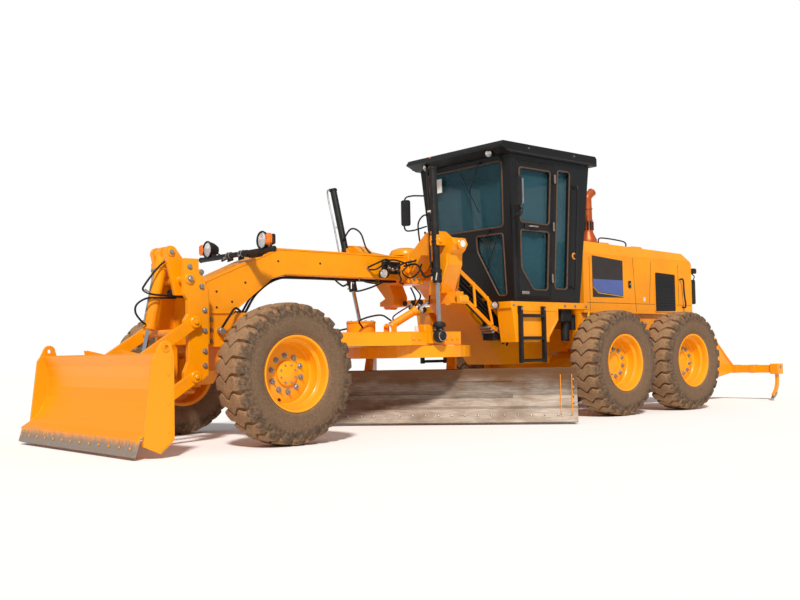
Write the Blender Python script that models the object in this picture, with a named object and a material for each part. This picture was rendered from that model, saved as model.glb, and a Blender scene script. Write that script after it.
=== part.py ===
"""Motor grader with a front blade, a centre blade and a rear ripper.

X points forward, Y to the operator's left and Z up, in metres.  Every place is
measured from the front axle's centre line on the ground; the empty "grader"
then moves the whole machine so that its middle stands on the origin.
"""
import math

import bmesh
import bpy
from mathutils import Matrix, Vector

for old in list(bpy.data.objects):
    bpy.data.objects.remove(old, do_unlink=True)

# ---------------------------------------------------------------- overall sizes
WHEELBASE = 5.85            # front axle to the middle of the tandems
TANDEM_SPACING = 1.54       # between the two wheels of one tandem
TYRE_RADIUS = 0.673
TYRE_WIDTH = 0.445
TRACK_HALF = 1.0675         # centre of a tyre from the machine's middle
ROOF_TOP = 3.37
ORIGIN = (3.8925, -0.1834, 0)  # front axle's centre line from the middle of the whole box
GAP = 0.0003                # between solids that touch
RUNNING = 0.006             # between solids that move past each other

# ---------------------------------------------------------------- wheels
WHEEL_SIDES = 24
BEAD_RADIUS = 0.345
FLANGE_RADIUS = 0.362
FLANGE_OUT = 0.193
FLANGE_IN = 0.183
RIM_WALL = 0.02
DISC_OUT = -0.01            # outer face of the wheel disc from the tyre's middle
DISC_THICK = 0.025
HUB_CAP_RADIUS = 0.12
HUB_CAP_OUT = 0.03
MID_WHEEL_X = -WHEELBASE + TANDEM_SPACING / 2
REAR_WHEEL_X = -WHEELBASE - TANDEM_SPACING / 2
HUB_FACE = TRACK_HALF + DISC_OUT - DISC_THICK   # what carries a wheel ends here

# ---------------------------------------------------------------- front axle
AXLE_HALF_THICK = 0.10
LEAN_Y = 0.60               # pivot that a front wheel leans about
LEAN_Z = 0.64
LEAN_EYE = 0.09
KINGPIN_Y = 0.80
KINGPIN_RADIUS = 0.05
KINGPIN_LOW = 0.49
KINGPIN_HIGH = 0.85
SPINDLE_RADIUS = 0.06

# ---------------------------------------------------------------- main frame
BEAM_HALF = 0.16
BEAM_TOP = 1.98
BEAM_BOTTOM = 1.70
NOSE_FRONT = 0.38
LEG_HALF = 0.30
DECK_BOTTOM = 1.36
DECK_TOP = 1.44
DECK_HALF = 0.85
DECK_FRONT = -3.40
DECK_REAR = -4.88
BOX_BOTTOM = 0.95
HITCH_X = -4.95             # articulation pin
HITCH_EYE = 0.12
FRAME_REAR = -4.72
FRAME_BOTTOM = 0.68

# ---------------------------------------------------------------- drawbar, circle, blade
BALL_X = -0.28
BALL_Z = 0.98
DRAWBAR_BOTTOM = 0.93
DRAWBAR_TOP = 1.08
CIRCLE_X = -2.48
CIRCLE_RADIUS = 0.76
CIRCLE_BORE = 0.60
CIRCLE_BOTTOM = 0.79
CIRCLE_TOP = DRAWBAR_BOTTOM - RUNNING
BLADE_ANGLE = 130.2         # heading of the blade's left end from straight ahead
BLADE_LEFT = 1.99
BLADE_RIGHT = 1.67
BLADE_TIP = 0.02
BLADE_SHEET = 0.02
LIFTS = {                   # lift cylinders: barrel's top and the rod's ball
    "left": ((-2.27, 0.74, 2.94), (-2.27, 0.80, 1.03)),
    "right": ((-2.27, -1.11, 2.94), (-2.37, -0.68, 1.03)),
}
LIFT_GLAND = 0.686          # share of its length that the barrel takes
BARREL_RADIUS = 0.042
ROD_RADIUS = 0.024
SADDLE = (-2.60, -2.40)     # X of the clamp round the beam that carries the lift cylinders
CRANK = (-2.58, -2.365)     # X of the two cranks on it
LOCK_BAR = (-2.60, -2.48)  # X of the bar below that ties the cranks
LOCK_BAR_LOW = 1.40
LOCK_BAR_HIGH = 1.47

# ---------------------------------------------------------------- front blade
DOZER_HALF = 1.25
DOZER_TOP = 0.88
DOZER_UPPER = (0.572, 1.18)  # X, Z of the upper links' pivot
DOZER_LOWER = (0.572, 0.654)  # X, Z of the push arms' pivot
DOZER_REACH = 0.555         # from those pivots to the blade's pins
DOZER_DROP = 0.352
ARM_IN = 0.342              # arms stand outside the mounting plates
ARM_OUT = 0.392
PLATE_IN = 0.28
PLATE_OUT = ARM_IN - RUNNING
DOZER_CYL_TOP = (0.70, 1.87)
DOZER_ARM_TUBE = 0.77       # share of the push arm's length where its cross tube sits

# ---------------------------------------------------------------- cab
CAB_BOTTOM = DECK_TOP + GAP
CAB_TOP = 3.24
CAB_FRONT = (-3.65, -3.50)  # X at its bottom and top
CAB_REAR = (-4.90, -5.02)
CAB_HALF = (0.69, 0.80)     # half width at its bottom and top
CAB_WALL = 0.05
FLOOR_TOP = 1.50
PANE = 0.006
DOOR_FRONT = (-3.715, -3.60)  # X at its bottom and top
DOOR_REAR = -4.315
DOOR_BOTTOM = 1.50
DOOR_TOP = 3.17
DOOR_GAP = 0.008

# ---------------------------------------------------------------- rear
HOOD_FRONT = -5.23
HOOD_REAR = -7.82
HOOD_HALF = 0.50
HOOD_BOTTOM = 1.34
HOOD_TOP = (2.33, 2.26)     # at its front and rear
HOOD_SHEET = 0.03
RAIL_BOTTOM = 0.86
TANDEM_IN = 0.60
TANDEM_OUT = 0.80
RIPPER_X = -8.35            # ripper's hinge
RIPPER_Z = 0.50
RIPPER_BEAM_X = -9.36
RIPPER_HALF = 1.05

PAINTS = {}


def paint(name, colour, roughness, metallic=0.0, alpha=1.0):
    """A Principled BSDF, made once for each name."""
    if name not in PAINTS:
        made = bpy.data.materials.new(name)
        made.use_nodes = True
        shader = made.node_tree.nodes["Principled BSDF"]
        shader.inputs["Base Color"].default_value = (*colour, 1.0)
        shader.inputs["Roughness"].default_value = roughness
        shader.inputs["Metallic"].default_value = metallic
        shader.inputs["Alpha"].default_value = alpha
        made.diffuse_color = (*colour, alpha)
        PAINTS[name] = made
    return PAINTS[name]


def yellow():
    return paint("yellow_paint", (0.9, 0.33, 0.02), 0.4)


def black():
    return paint("black_paint", (0.025, 0.027, 0.03), 0.45)


def steel():
    return paint("worn_steel", (0.35, 0.33, 0.31), 0.35, 0.9)


def chrome():
    return paint("chrome", (0.7, 0.7, 0.72), 0.12, 1.0)


def rubber():
    return paint("muddy_rubber", (0.25, 0.16, 0.09), 0.9)


def glass():
    return paint("cab_glass", (0.25, 0.36, 0.4), 0.05, 0.0, 0.35)


# ---------------------------------------------------------------- shapes
def solid(vertices, faces):
    bm = bmesh.new()
    made = [bm.verts.new(point) for point in vertices]
    for face in faces:
        bm.faces.new([made[index] for index in face])
    bmesh.ops.recalc_face_normals(bm, faces=bm.faces)
    return bm


def prism(outline, low, high, axis="Y"):
    """Extrude an outline along an axis; its points hold the other two coordinates."""
    order = {"X": (2, 0, 1), "Y": (0, 2, 1), "Z": (0, 1, 2)}[axis]

    def corner(point, along):
        values = (*point, along)
        return tuple(values[index] for index in order)

    count = len(outline)
    vertices = [corner(point, low) for point in outline]
    vertices += [corner(point, high) for point in outline]
    faces = [range(count), range(2 * count - 1, count - 1, -1)]
    for here in range(count):
        after = (here + 1) % count
        faces.append((here, here + count, after + count, after))
    return solid(vertices, faces)


def box(x, y, z):
    """A block between two X, two Y and two Z values."""
    low, high = sorted(x)
    return prism([(y[0], z[0]), (y[1], z[0]), (y[1], z[1]), (y[0], z[1])], low, high, "X")


def turned(profile, centre, axis="Z", sides=24, closed=False):
    """Turn a profile of (radius, height) points about an axis through a centre.

    An open profile starts and ends on the axis.  A flat side faces down.
    """
    bm = bmesh.new()
    swing = {"X": Matrix.Rotation(math.pi / 2, 3, "Y"), "Y": Matrix.Rotation(-math.pi / 2, 3, "X"),
             "Z": Matrix.Identity(3)}[axis]
    half_step = math.pi / sides
    rings = []
    for radius, height in profile:
        if radius == 0:
            rings.append([bm.verts.new(Vector(centre) + swing @ Vector((0, 0, height)))])
            continue
        ring = []
        for step in range(sides):
            angle = (2 * step + 1) * half_step
            spot = Vector((radius * math.cos(angle), radius * math.sin(angle), height))
            ring.append(bm.verts.new(Vector(centre) + swing @ spot))
        rings.append(ring)
    pairs = list(zip(rings, rings[1:]))
    if closed:
        pairs.append((rings[-1], rings[0]))
    for one, two in pairs:
        for step in range(sides):
            after = (step + 1) % sides
            if len(one) == 1:
                bm.faces.new((one[0], two[step], two[after]))
            elif len(two) == 1:
                bm.faces.new((one[step], two[0], one[after]))
            else:
                bm.faces.new((one[step], two[step], two[after], one[after]))
    bmesh.ops.recalc_face_normals(bm, faces=bm.faces)
    return bm


def bar(start, end, radius, sides=12):
    """A round bar between two points."""
    start, end = Vector(start), Vector(end)
    length = (end - start).length
    bm = turned([(0, 0), (radius, 0), (radius, length), (0, length)], (0, 0, 0), "Z", sides)
    turn = (end - start).to_track_quat("Z", "Y").to_matrix().to_4x4()
    bm.transform(Matrix.Translation(start) @ turn)
    return bm


def arc(centre, radius, start, end, steps):
    """Points along an arc, angles in degrees."""
    points = []
    for step in range(steps + 1):
        angle = math.radians(start + (end - start) * step / steps)
        points.append((centre[0] + radius * math.cos(angle), centre[1] + radius * math.sin(angle)))
    return points


def link(start, end, radius, low, high, steps=6):
    """A flat bar along Y's thickness with round ends about two (X, Z) pins."""
    heading = math.degrees(math.atan2(end[1] - start[1], end[0] - start[0]))
    outline = arc(start, radius, heading + 90, heading + 270, steps)
    outline += arc(end, radius, heading - 90, heading + 90, steps)
    return prism(outline, low, high)


def both(maker):
    """The same shape on the left and on the right."""
    return [maker(1), maker(-1)]


def span(side, one, two):
    """Two Y values on one side of the machine, in rising order."""
    return sorted((side * one, side * two))


# ---------------------------------------------------------------- objects
def as_object(name, bm):
    mesh = bpy.data.meshes.new(name)
    bm.to_mesh(mesh)
    bm.free()
    made = bpy.data.objects.new(name, mesh)
    bpy.context.collection.objects.link(made)
    return made


def combine(first, others, operation):
    """Boolean the others into the first object and remove them."""
    for other in others:
        step = first.modifiers.new(other.name, "BOOLEAN")
        step.operation = operation
        step.object = other
    graph = bpy.context.evaluated_depsgraph_get()
    mesh = bpy.data.meshes.new_from_object(first.evaluated_get(graph))
    first.modifiers.clear()
    first.data = mesh
    for other in others:
        bpy.data.objects.remove(other, do_unlink=True)


def part(name, material, carrier, solids, cuts=(), common=()):
    """Join solids, keep what they share with the common ones and take the cuts away."""
    made = as_object(name, solids[0])
    if len(solids) > 1:
        combine(made, [as_object("more", bm) for bm in solids[1:]], "UNION")
    if common:
        combine(made, [as_object("common", bm) for bm in common], "INTERSECT")
    if cuts:
        combine(made, [as_object("cut", bm) for bm in cuts], "DIFFERENCE")
    made.data.materials.clear()
    made.data.materials.append(material)
    made.data.shade_smooth()
    made.data.set_sharp_from_angle(angle=math.radians(35))
    made.parent = carrier
    made.location = -place_of(carrier)
    return made


def place_of(carrier):
    """Where a carrier stands, from the front axle."""
    spot = Vector((0, 0, 0))
    while carrier is not None and carrier.name != "grader":
        spot += carrier.location
        carrier = carrier.parent
    return spot


def pivot(name, at, carrier):
    """An empty on a joint's axis."""
    made = bpy.data.objects.new(name, None)
    bpy.context.collection.objects.link(made)
    made.parent = carrier
    made.location = Vector(at) - place_of(carrier)
    return made


# ---------------------------------------------------------------- wheels
def tyre_profile():
    outer = TYRE_RADIUS / math.cos(math.pi / WHEEL_SIDES)
    half = TYRE_WIDTH / 2
    side = [(BEAD_RADIUS, 0.17), (0.41, 0.208), (0.53, half), (0.625, half - 0.012), (outer, half - 0.05)]
    return side + [(radius, -width) for radius, width in reversed(side)]


def rim_profile():
    seat = BEAD_RADIUS - GAP
    inside = seat - RIM_WALL
    disc_in = DISC_OUT - DISC_THICK
    return [(0, disc_in), (inside, disc_in), (inside, -FLANGE_OUT), (FLANGE_RADIUS, -FLANGE_OUT),
            (FLANGE_RADIUS, -FLANGE_IN), (seat, -FLANGE_IN), (seat, FLANGE_IN),
            (FLANGE_RADIUS, FLANGE_IN), (FLANGE_RADIUS, FLANGE_OUT), (inside, FLANGE_OUT),
            (inside - 0.015, DISC_OUT), (HUB_CAP_RADIUS, DISC_OUT), (HUB_CAP_RADIUS, HUB_CAP_OUT),
            (0, HUB_CAP_OUT)]


def wheel(name, x, side, carrier):
    hub = pivot(name + "_hub", (x, side * TRACK_HALF, TYRE_RADIUS), carrier)
    centre = (x, side * TRACK_HALF, TYRE_RADIUS)
    tyre = [(radius, side * width) for radius, width in tyre_profile()]
    part(name + "_tyre", rubber(), hub, [turned(tyre, centre, "Y", WHEEL_SIDES, closed=True)])
    rim = [(radius, side * width) for radius, width in rim_profile()]
    part(name + "_rim", yellow(), hub, [turned(rim, centre, "Y", WHEEL_SIDES)])


# ---------------------------------------------------------------- front axle
def front_axle(carrier):
    outline = [(0.50, 0.56), (0.50, 0.78), (0.34, 0.94), (-0.34, 0.94), (-0.50, 0.78), (-0.50, 0.56),
               (-0.42, 0.56), (-0.28, 0.70), (0.28, 0.70), (0.42, 0.56)]
    solids = [prism(outline, -AXLE_HALF_THICK, AXLE_HALF_THICK, "X")]
    for side in (1, -1):
        eye = arc((side * LEAN_Y, LEAN_Z), LEAN_EYE, 90 - side * 90 - 90, 90 - side * 90 + 90, 6)
        stub = eye + [(side * 0.46, LEAN_Z + side * LEAN_EYE), (side * 0.46, LEAN_Z - side * LEAN_EYE)]
        solids.append(prism(stub, -0.07, 0.07, "X"))
    part("front_axle", yellow(), carrier, solids)


def lean_yoke(name, side, carrier):
    """Straddles the axle's end, leans on it and carries the kingpin."""
    solids = []
    for low, high in ((0.0765, 0.115), (-0.115, -0.0765)):
        solids.append(box((low, high), span(side, LEAN_Y - 0.06, 0.75), (LEAN_Z - 0.075, LEAN_Z + 0.075)))
    solids.append(box((-0.115, 0.115), span(side, 0.715, 0.765), (0.52, 0.82)))
    solids.append(bar((0, side * KINGPIN_Y, KINGPIN_LOW), (0, side * KINGPIN_Y, KINGPIN_HIGH),
                      KINGPIN_RADIUS))
    part(name, yellow(), carrier, solids)


def spindle(name, side, carrier):
    """Turns on the kingpin and carries the wheel."""
    web_in, web_out = KINGPIN_Y + 0.062, KINGPIN_Y + 0.102
    top, low = KINGPIN_HIGH + RUNNING, KINGPIN_LOW - RUNNING
    solids = [
        box((-0.08, 0.08), span(side, web_in, web_out), (low - 0.035, top + 0.035)),
        box((-0.06, 0.06), span(side, KINGPIN_Y - 0.05, web_out - 0.01), (top, top + 0.035)),
        box((-0.06, 0.06), span(side, KINGPIN_Y - 0.05, web_out - 0.01), (low - 0.035, low)),
        bar((0, side * (web_out - 0.02), TYRE_RADIUS), (0, side * (HUB_FACE - GAP), TYRE_RADIUS),
            SPINDLE_RADIUS),
    ]
    part(name, yellow(), carrier, solids)


def front_end(carrier):
    front_axle(carrier)
    for name, side in (("front_left", 1), ("front_right", -1)):
        lean = pivot(name + "_lean_pin", (0, side * LEAN_Y, LEAN_Z), carrier)
        lean_yoke(name + "_lean_yoke", side, lean)
        kingpin = pivot(name + "_kingpin", (0, side * KINGPIN_Y, TYRE_RADIUS), lean)
        spindle(name + "_spindle", side, kingpin)
        wheel(name, 0, side, kingpin)


# ---------------------------------------------------------------- main frame
def main_frame(carrier):
    """Gooseneck, legs under the cab and the hitch, welded into one."""
    gooseneck = [(NOSE_FRONT, 1.586), (0.344, 1.272), (0.03, 1.272), (-0.47, 1.651), (-0.65, BEAM_BOTTOM),
                 (-2.75, BEAM_BOTTOM), (-2.75, BEAM_TOP), (-0.53, BEAM_TOP), (-0.14, 1.812)]
    under_deck = DECK_BOTTOM - GAP
    behind_yoke = SADDLE[0] - 0.02
    legs = [(behind_yoke, BEAM_TOP - 0.01), (-2.85, BEAM_TOP - 0.01), (DECK_FRONT + 0.01, under_deck),
            (FRAME_REAR, under_deck), (FRAME_REAR, FRAME_BOTTOM), (-3.80, FRAME_BOTTOM), (-3.32, 1.25),
            (-2.98, 1.62), (-2.80, BEAM_BOTTOM + 0.01), (behind_yoke, BEAM_BOTTOM + 0.01)]
    hitch = arc((HITCH_X, 0), HITCH_EYE, 90, 270, 8) + [(FRAME_REAR + 0.02, -0.2), (FRAME_REAR + 0.02, 0.2)]
    solids = [
        prism(gooseneck, -BEAM_HALF, BEAM_HALF),
        prism(legs, -LEG_HALF, LEG_HALF),
        box((-0.16, 0.335), (-0.15, 0.15), (0.945, 1.29)),
        box((0.11, 0.155), (-0.12, 0.12), (0.74, 0.97)),
        box((-0.155, -0.11), (-0.12, 0.12), (0.74, 0.97)),
        prism(hitch, 1.15, 1.24, "Z"),
        prism(hitch, 0.72, 0.81, "Z"),
    ]
    for side in (1, -1):
        solids.append(box((BALL_X - 0.08, -0.15), span(side, 0.085, 0.115), (0.90, 1.06)))
    part("main_frame", yellow(), carrier, solids)


LEFT_CRANK = [(0.17, 1.95), (0.26, 2.03), (0.50, 2.22), (0.62, 2.24), (0.74, 2.15), (0.93, 2.13),
              (0.965, 2.06), (0.92, 1.99), (0.875, 1.96), (0.87, 1.83), (0.79, 1.66), (0.73, 1.52),
              (0.54, 1.50), (0.55, 1.66), (0.62, 1.82), (0.60, 1.95), (0.42, 1.97), (0.27, 1.80),
              (0.17, 1.78)]
RIGHT_CRANK = [(-0.17, 1.98), (-0.45, 2.06), (-0.72, 2.12), (-0.84, 2.20), (-0.95, 2.21), (-1.03, 2.14),
               (-1.01, 2.03), (-0.80, 1.97), (-0.62, 1.88), (-0.46, 1.72), (-0.24, 1.50), (-0.34, 1.46),
               (-0.34, 1.41), (-0.08, 1.41), (-0.08, 1.52), (-0.17, 1.69)]


def lift_yoke(carrier):
    """Saddle clamped round the beam, its two cranks and the lock bar that ties them.

    The bar stands to the left of the middle, so the cranks differ.
    """
    beam = box((SADDLE[0] - 0.1, SADDLE[1] + 0.1), (-BEAM_HALF - GAP, BEAM_HALF + GAP),
               (BEAM_BOTTOM - GAP, BEAM_TOP + GAP))
    solids = [
        box(SADDLE, (-0.20, 0.20), (1.655, 2.02)),
        prism(LEFT_CRANK, *CRANK, "X"),
        prism(RIGHT_CRANK, *CRANK, "X"),
        box(LOCK_BAR, (-0.34, 0.80), (LOCK_BAR_LOW, LOCK_BAR_HIGH)),
        box((CRANK[0], -2.47), (0.55, 0.88), (LOCK_BAR_LOW, 1.53)),
    ]
    part("blade_lift_yoke", yellow(), carrier, solids, cuts=[beam])


def cab_platform(carrier):
    """Deck plate with a side box under each door."""
    solids = [box((DECK_REAR, DECK_FRONT), (-DECK_HALF, DECK_HALF), (DECK_BOTTOM, DECK_TOP))]
    outline = [(-3.42, DECK_BOTTOM + 0.01), (-4.27, DECK_BOTTOM + 0.01), (-4.27, 1.22), (-4.09, 1.0),
               (-4.09, BOX_BOTTOM), (-3.48, BOX_BOTTOM)]
    solids += both(lambda side: prism(outline, *span(side, 0.60, DECK_HALF)))
    part("cab_platform", yellow(), carrier, solids)


def ladder(name, side, carrier):
    low, high = span(side, DECK_HALF + GAP, DECK_HALF + 0.05)
    stiles = [box((x - 0.02, x + 0.02), (low, high), (0.70, DECK_TOP - 0.06)) for x in (-3.54, -3.96)]
    rungs = [box((-3.95, -3.55), span(side, DECK_HALF + 0.012, DECK_HALF + 0.045), (z, z + 0.03))
             for z in (0.71, 0.98, 1.25)]
    part(name, black(), carrier, stiles + rungs)


# ---------------------------------------------------------------- drawbar, circle, blade
def drawbar(carrier):
    left = [(BALL_X - 0.10, 0.055), (-1.20, 0.34), (-1.95, 0.68), (-2.72, 0.68), (-2.82, 0.58)]
    right = [(-2.82, -0.42), (-2.72, -0.50), (-1.95, -0.50), (-1.20, -0.34), (BALL_X - 0.10, -0.055)]
    window = [(-0.95, 0.12), (-1.42, 0.30), (-1.42, -0.30), (-0.95, -0.12)]
    solids = [
        prism(left + right, DRAWBAR_BOTTOM, DRAWBAR_TOP, "Z"),
        turned([(0, -0.07), (0.05, -0.05), (0.07, 0), (0.05, 0.05), (0, 0.07)], (BALL_X, 0, BALL_Z), "Z", 12),
        bar((BALL_X, 0, BALL_Z), (BALL_X - 0.2, 0, BALL_Z + 0.02), 0.045),
        bar((-1.79, 0, DRAWBAR_TOP - 0.02), (-1.79, 0, 1.20), 0.165, 24),
        box((-2.37, -2.18), (0.62, 0.725), (0.95, 1.14)),
        box((-2.62, -2.52), (-0.74, -0.45), (0.95, 1.07)),
    ]
    part("drawbar", yellow(), carrier, solids, cuts=[prism(window, 0.8, 1.2, "Z")])


def blade_frame():
    """From blade lines (along, ahead, up) about the circle's middle to the machine."""
    return Matrix.Translation((CIRCLE_X, 0, 0)) @ Matrix.Rotation(math.radians(BLADE_ANGLE), 4, "Z") \
        @ Matrix.Diagonal((1, -1, 1, 1))


def in_blade_frame(bm):
    bm.transform(blade_frame())
    bmesh.ops.recalc_face_normals(bm, faces=bm.faces)
    return bm


def blade_section():
    """Curved sheet and cutting edge, as (ahead, up) points."""
    centre, radius = (0.45, 0.42), 0.41
    outer = arc(centre, radius + BLADE_SHEET, 148, 220, 8)
    inner = arc(centre, radius, 220, 148, 8)
    return outer + inner


def circle(carrier):
    ring = [(CIRCLE_BORE, CIRCLE_BOTTOM), (CIRCLE_RADIUS, CIRCLE_BOTTOM), (CIRCLE_RADIUS, CIRCLE_TOP),
            (CIRCLE_BORE, CIRCLE_TOP)]
    solids = [turned(ring, (CIRCLE_X, 0, 0), "Z", 40, closed=True)]
    arm = [(-0.30, 0.85), (-0.52, 0.85), (-0.50, 0.62), (-0.30, 0.30), (-0.14, 0.22), (-0.075, 0.24),
           (-0.075, 0.60), (-0.16, 0.62), (-0.30, 0.78)]
    for along in (0.50, -0.50):
        solids.append(in_blade_frame(prism(arm, along - 0.05, along + 0.05, "X")))
    part("circle", yellow(), carrier, solids)


def moldboard(carrier):
    sheet = prism(blade_section(), -BLADE_RIGHT, BLADE_LEFT, "X")
    edge = prism([(0.118, 0.175), (0.142, 0.18), (0.212, 0.03), (0.195, BLADE_TIP)],
                 -BLADE_RIGHT, BLADE_LEFT, "X")
    rails = [prism([(-0.06, low), (0.06, low), (0.06, low + 0.05), (-0.06, low + 0.05)], -1.25, 1.25, "X")
             for low in (0.30, 0.50)]
    solids = [in_blade_frame(bm) for bm in [sheet, edge] + rails]
    part("moldboard", steel(), carrier, solids)


def part_way(start, end, share):
    return Vector(start).lerp(Vector(end), share)


def cylinder_pair(names, start, end, gland, inside, barrel_radius, rod_radius, eye, carriers, bore=True):
    """A hollow barrel from start and a rod that reaches into it, ending in an eye along Y."""
    barrel_end = part_way(start, end, gland)
    barrel = bar(start, barrel_end, barrel_radius, 16)
    hole = bar(part_way(start, end, 0.05), part_way(start, end, gland + 0.05), rod_radius + RUNNING, 12)
    part(names[0], black() if bore else yellow(), carriers[0], [barrel], cuts=[hole])
    rod = bar(part_way(start, end, inside), end, rod_radius, 12)
    eye_half, eye_radius = eye
    knuckle = bar(Vector(end) - Vector((0, eye_half, 0)), Vector(end) + Vector((0, eye_half, 0)),
                  eye_radius, 14)
    part(names[1], chrome(), carriers[1], [rod, knuckle])


def blade_lift(carrier):
    for name, (start, end) in LIFTS.items():
        rod = pivot("lift_rod_slide_" + name, end, carrier)
        cylinder_pair(("lift_cylinder_" + name, "lift_rod_" + name), start, end, LIFT_GLAND, 0.36,
                      BARREL_RADIUS, ROD_RADIUS, (0.055, 0.06), (carrier, rod))


def centre_shift(carrier):
    """Small cylinder from the drawbar up to the yoke's lock bar."""
    start = (-2.06, 0.20, DRAWBAR_TOP + 0.075)
    end = (-2.42, 0.47, LOCK_BAR_LOW + 0.025)
    hinge = pivot("centre_shift_hinge", start, carrier)
    slide = pivot("centre_shift_slide", end, hinge)
    cylinder_pair(("centre_shift_cylinder", "centre_shift_rod"), start, end, 0.68, 0.26,
                  0.045, 0.02, (0.03, 0.035), (hinge, slide), bore=False)


def blade_group(carrier):
    ball = pivot("drawbar_ball", (BALL_X, 0, BALL_Z), carrier)
    drawbar(ball)
    centre = pivot("circle_centre", (CIRCLE_X, 0, CIRCLE_TOP), ball)
    circle(centre)
    shift = pivot("blade_shift", (CIRCLE_X, 0, 0.35), centre)
    moldboard(shift)
    centre_shift(ball)
    blade_lift(carrier)


# ---------------------------------------------------------------- front blade
def dozer_mount(carrier):
    plate = [(0.395, 1.50), (0.455, 1.62), (0.455, 1.70), (0.50, 1.70), (0.50, 1.80), (0.66, 1.80),
             (0.66, 1.45), (0.62, 1.40), (0.62, 1.26), (0.66, 1.20), (0.66, 1.12), (0.62, 1.04),
             (0.62, 0.80), (0.665, 0.70), (0.665, 0.60), (0.62, 0.56), (0.55, 0.56), (0.40, 0.67),
             (0.40, 0.96)]
    lug = [(0.41, 1.45), (0.66, 1.45), (0.70, 1.62)] + arc(DOZER_CYL_TOP, 0.065, 0, 130, 5) + [(0.41, 1.60)]
    solids = [box((NOSE_FRONT + 0.004, 0.43), (-0.33, 0.33), (0.97, 1.54)),
              bar((0.60, -0.31, 1.60), (0.60, 0.31, 1.60), 0.04)]
    solids += both(lambda side: prism(plate, *span(side, PLATE_IN, PLATE_OUT)))
    solids += both(lambda side: prism(lug, *span(side, 0.11, 0.16)))
    part("dozer_mount", yellow(), carrier, solids)


def dozer_pin(pin):
    return (pin[0] + DOZER_REACH, pin[1] - DOZER_DROP)


def dozer_blade(carrier):
    sheet = arc((1.86, 0.62), 0.53, 150, 244, 8) + arc((1.86, 0.62), 0.50, 244, 150, 8)
    edge = [(1.585, 0.165), (1.62, 0.175), (1.66, 0.035), (1.63, 0.02)]
    cheek = [(1.44, DOZER_TOP), (1.475, DOZER_TOP - 0.05), (1.56, 0.11), (1.40, 0.04), (1.27, 0.147),
             (1.27, DOZER_TOP - 0.02)] + arc((1.35, 0.93), 0.06, 180, 20, 6)
    solids = [prism(sheet, -DOZER_HALF + 0.01, DOZER_HALF - 0.01), prism(edge, -DOZER_HALF, DOZER_HALF)]
    solids += both(lambda side: prism(cheek, *span(side, DOZER_HALF - 0.03, DOZER_HALF)))
    ear_hole = bar((1.35, -DOZER_HALF - 0.1, 0.93), (1.35, DOZER_HALF + 0.1, 0.93), 0.022)
    part("dozer_blade", yellow(), carrier, solids, cuts=[ear_hole])


def dozer_arms(name, pin, carrier, tube_share):
    """Two flat links outside the mounting plates, joined by a cross tube."""
    end = dozer_pin(pin)
    solids = both(lambda side: link(pin, end, 0.055, *span(side, ARM_IN, ARM_OUT)))
    spot = (pin[0] + tube_share * DOZER_REACH, pin[1] - tube_share * DOZER_DROP)
    half = (ARM_IN + ARM_OUT) / 2
    solids.append(bar((spot[0], -half, spot[1]), (spot[0], half, spot[1]), 0.035))
    part(name, yellow(), carrier, solids)
    return spot


def dozer_group(carrier):
    dozer_mount(carrier)
    lower = pivot("dozer_lower_pin", (DOZER_LOWER[0], 0, DOZER_LOWER[1]), carrier)
    upper = pivot("dozer_upper_pin", (DOZER_UPPER[0], 0, DOZER_UPPER[1]), carrier)
    front = dozer_pin(DOZER_LOWER)
    blade_pin = pivot("dozer_blade_pin", (front[0], 0, front[1]), lower)
    dozer_arms("dozer_upper_links", DOZER_UPPER, upper, 0.28)
    spot = dozer_arms("dozer_push_arms", DOZER_LOWER, lower, DOZER_ARM_TUBE)
    dozer_blade(blade_pin)
    start = (DOZER_CYL_TOP[0], 0, DOZER_CYL_TOP[1])
    end = (spot[0], 0, spot[1] + 0.035 + 0.045 + 2 * RUNNING)
    top = pivot("dozer_cylinder_pin", start, carrier)
    slide = pivot("dozer_rod_slide", end, top)
    cylinder_pair(("dozer_cylinder", "dozer_rod"), start, end, 0.53, 0.37, 0.06, 0.03,
                  (0.04, 0.045), (top, slide), bore=False)


# ---------------------------------------------------------------- cab
def cab_x(ends, z):
    share = (z - CAB_BOTTOM) / (CAB_TOP - CAB_BOTTOM)
    return ends[0] + (ends[1] - ends[0]) * share


def cab_body(inset=0.0, low=CAB_BOTTOM, high=CAB_TOP):
    """The cab's tapered block, moved in by an inset on its four sides."""
    vertices = []
    for z in (low, high):
        front = cab_x(CAB_FRONT, z) - inset
        rear = cab_x(CAB_REAR, z) + inset
        half = cab_x(CAB_HALF, z) - inset
        vertices += [(front, half, z), (front, -half, z), (rear, -half, z), (rear, half, z)]
    faces = [(0, 1, 2, 3), (7, 6, 5, 4), (0, 4, 5, 1), (1, 5, 6, 2), (2, 6, 7, 3), (3, 7, 4, 0)]
    return solid(vertices, faces)


def rounded(outline, radius, steps=3):
    """Round the corners of an outline."""
    made = []
    count = len(outline)
    for index in range(count):
        here = Vector(outline[index])
        before = (Vector(outline[index - 1]) - here).normalized()
        after = (Vector(outline[(index + 1) % count]) - here).normalized()
        for step in range(steps + 1):
            share = step / steps
            bend = before * (1 - share) ** 2 + after * share ** 2
            made.append(tuple(here + bend * radius))
    return made


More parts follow.
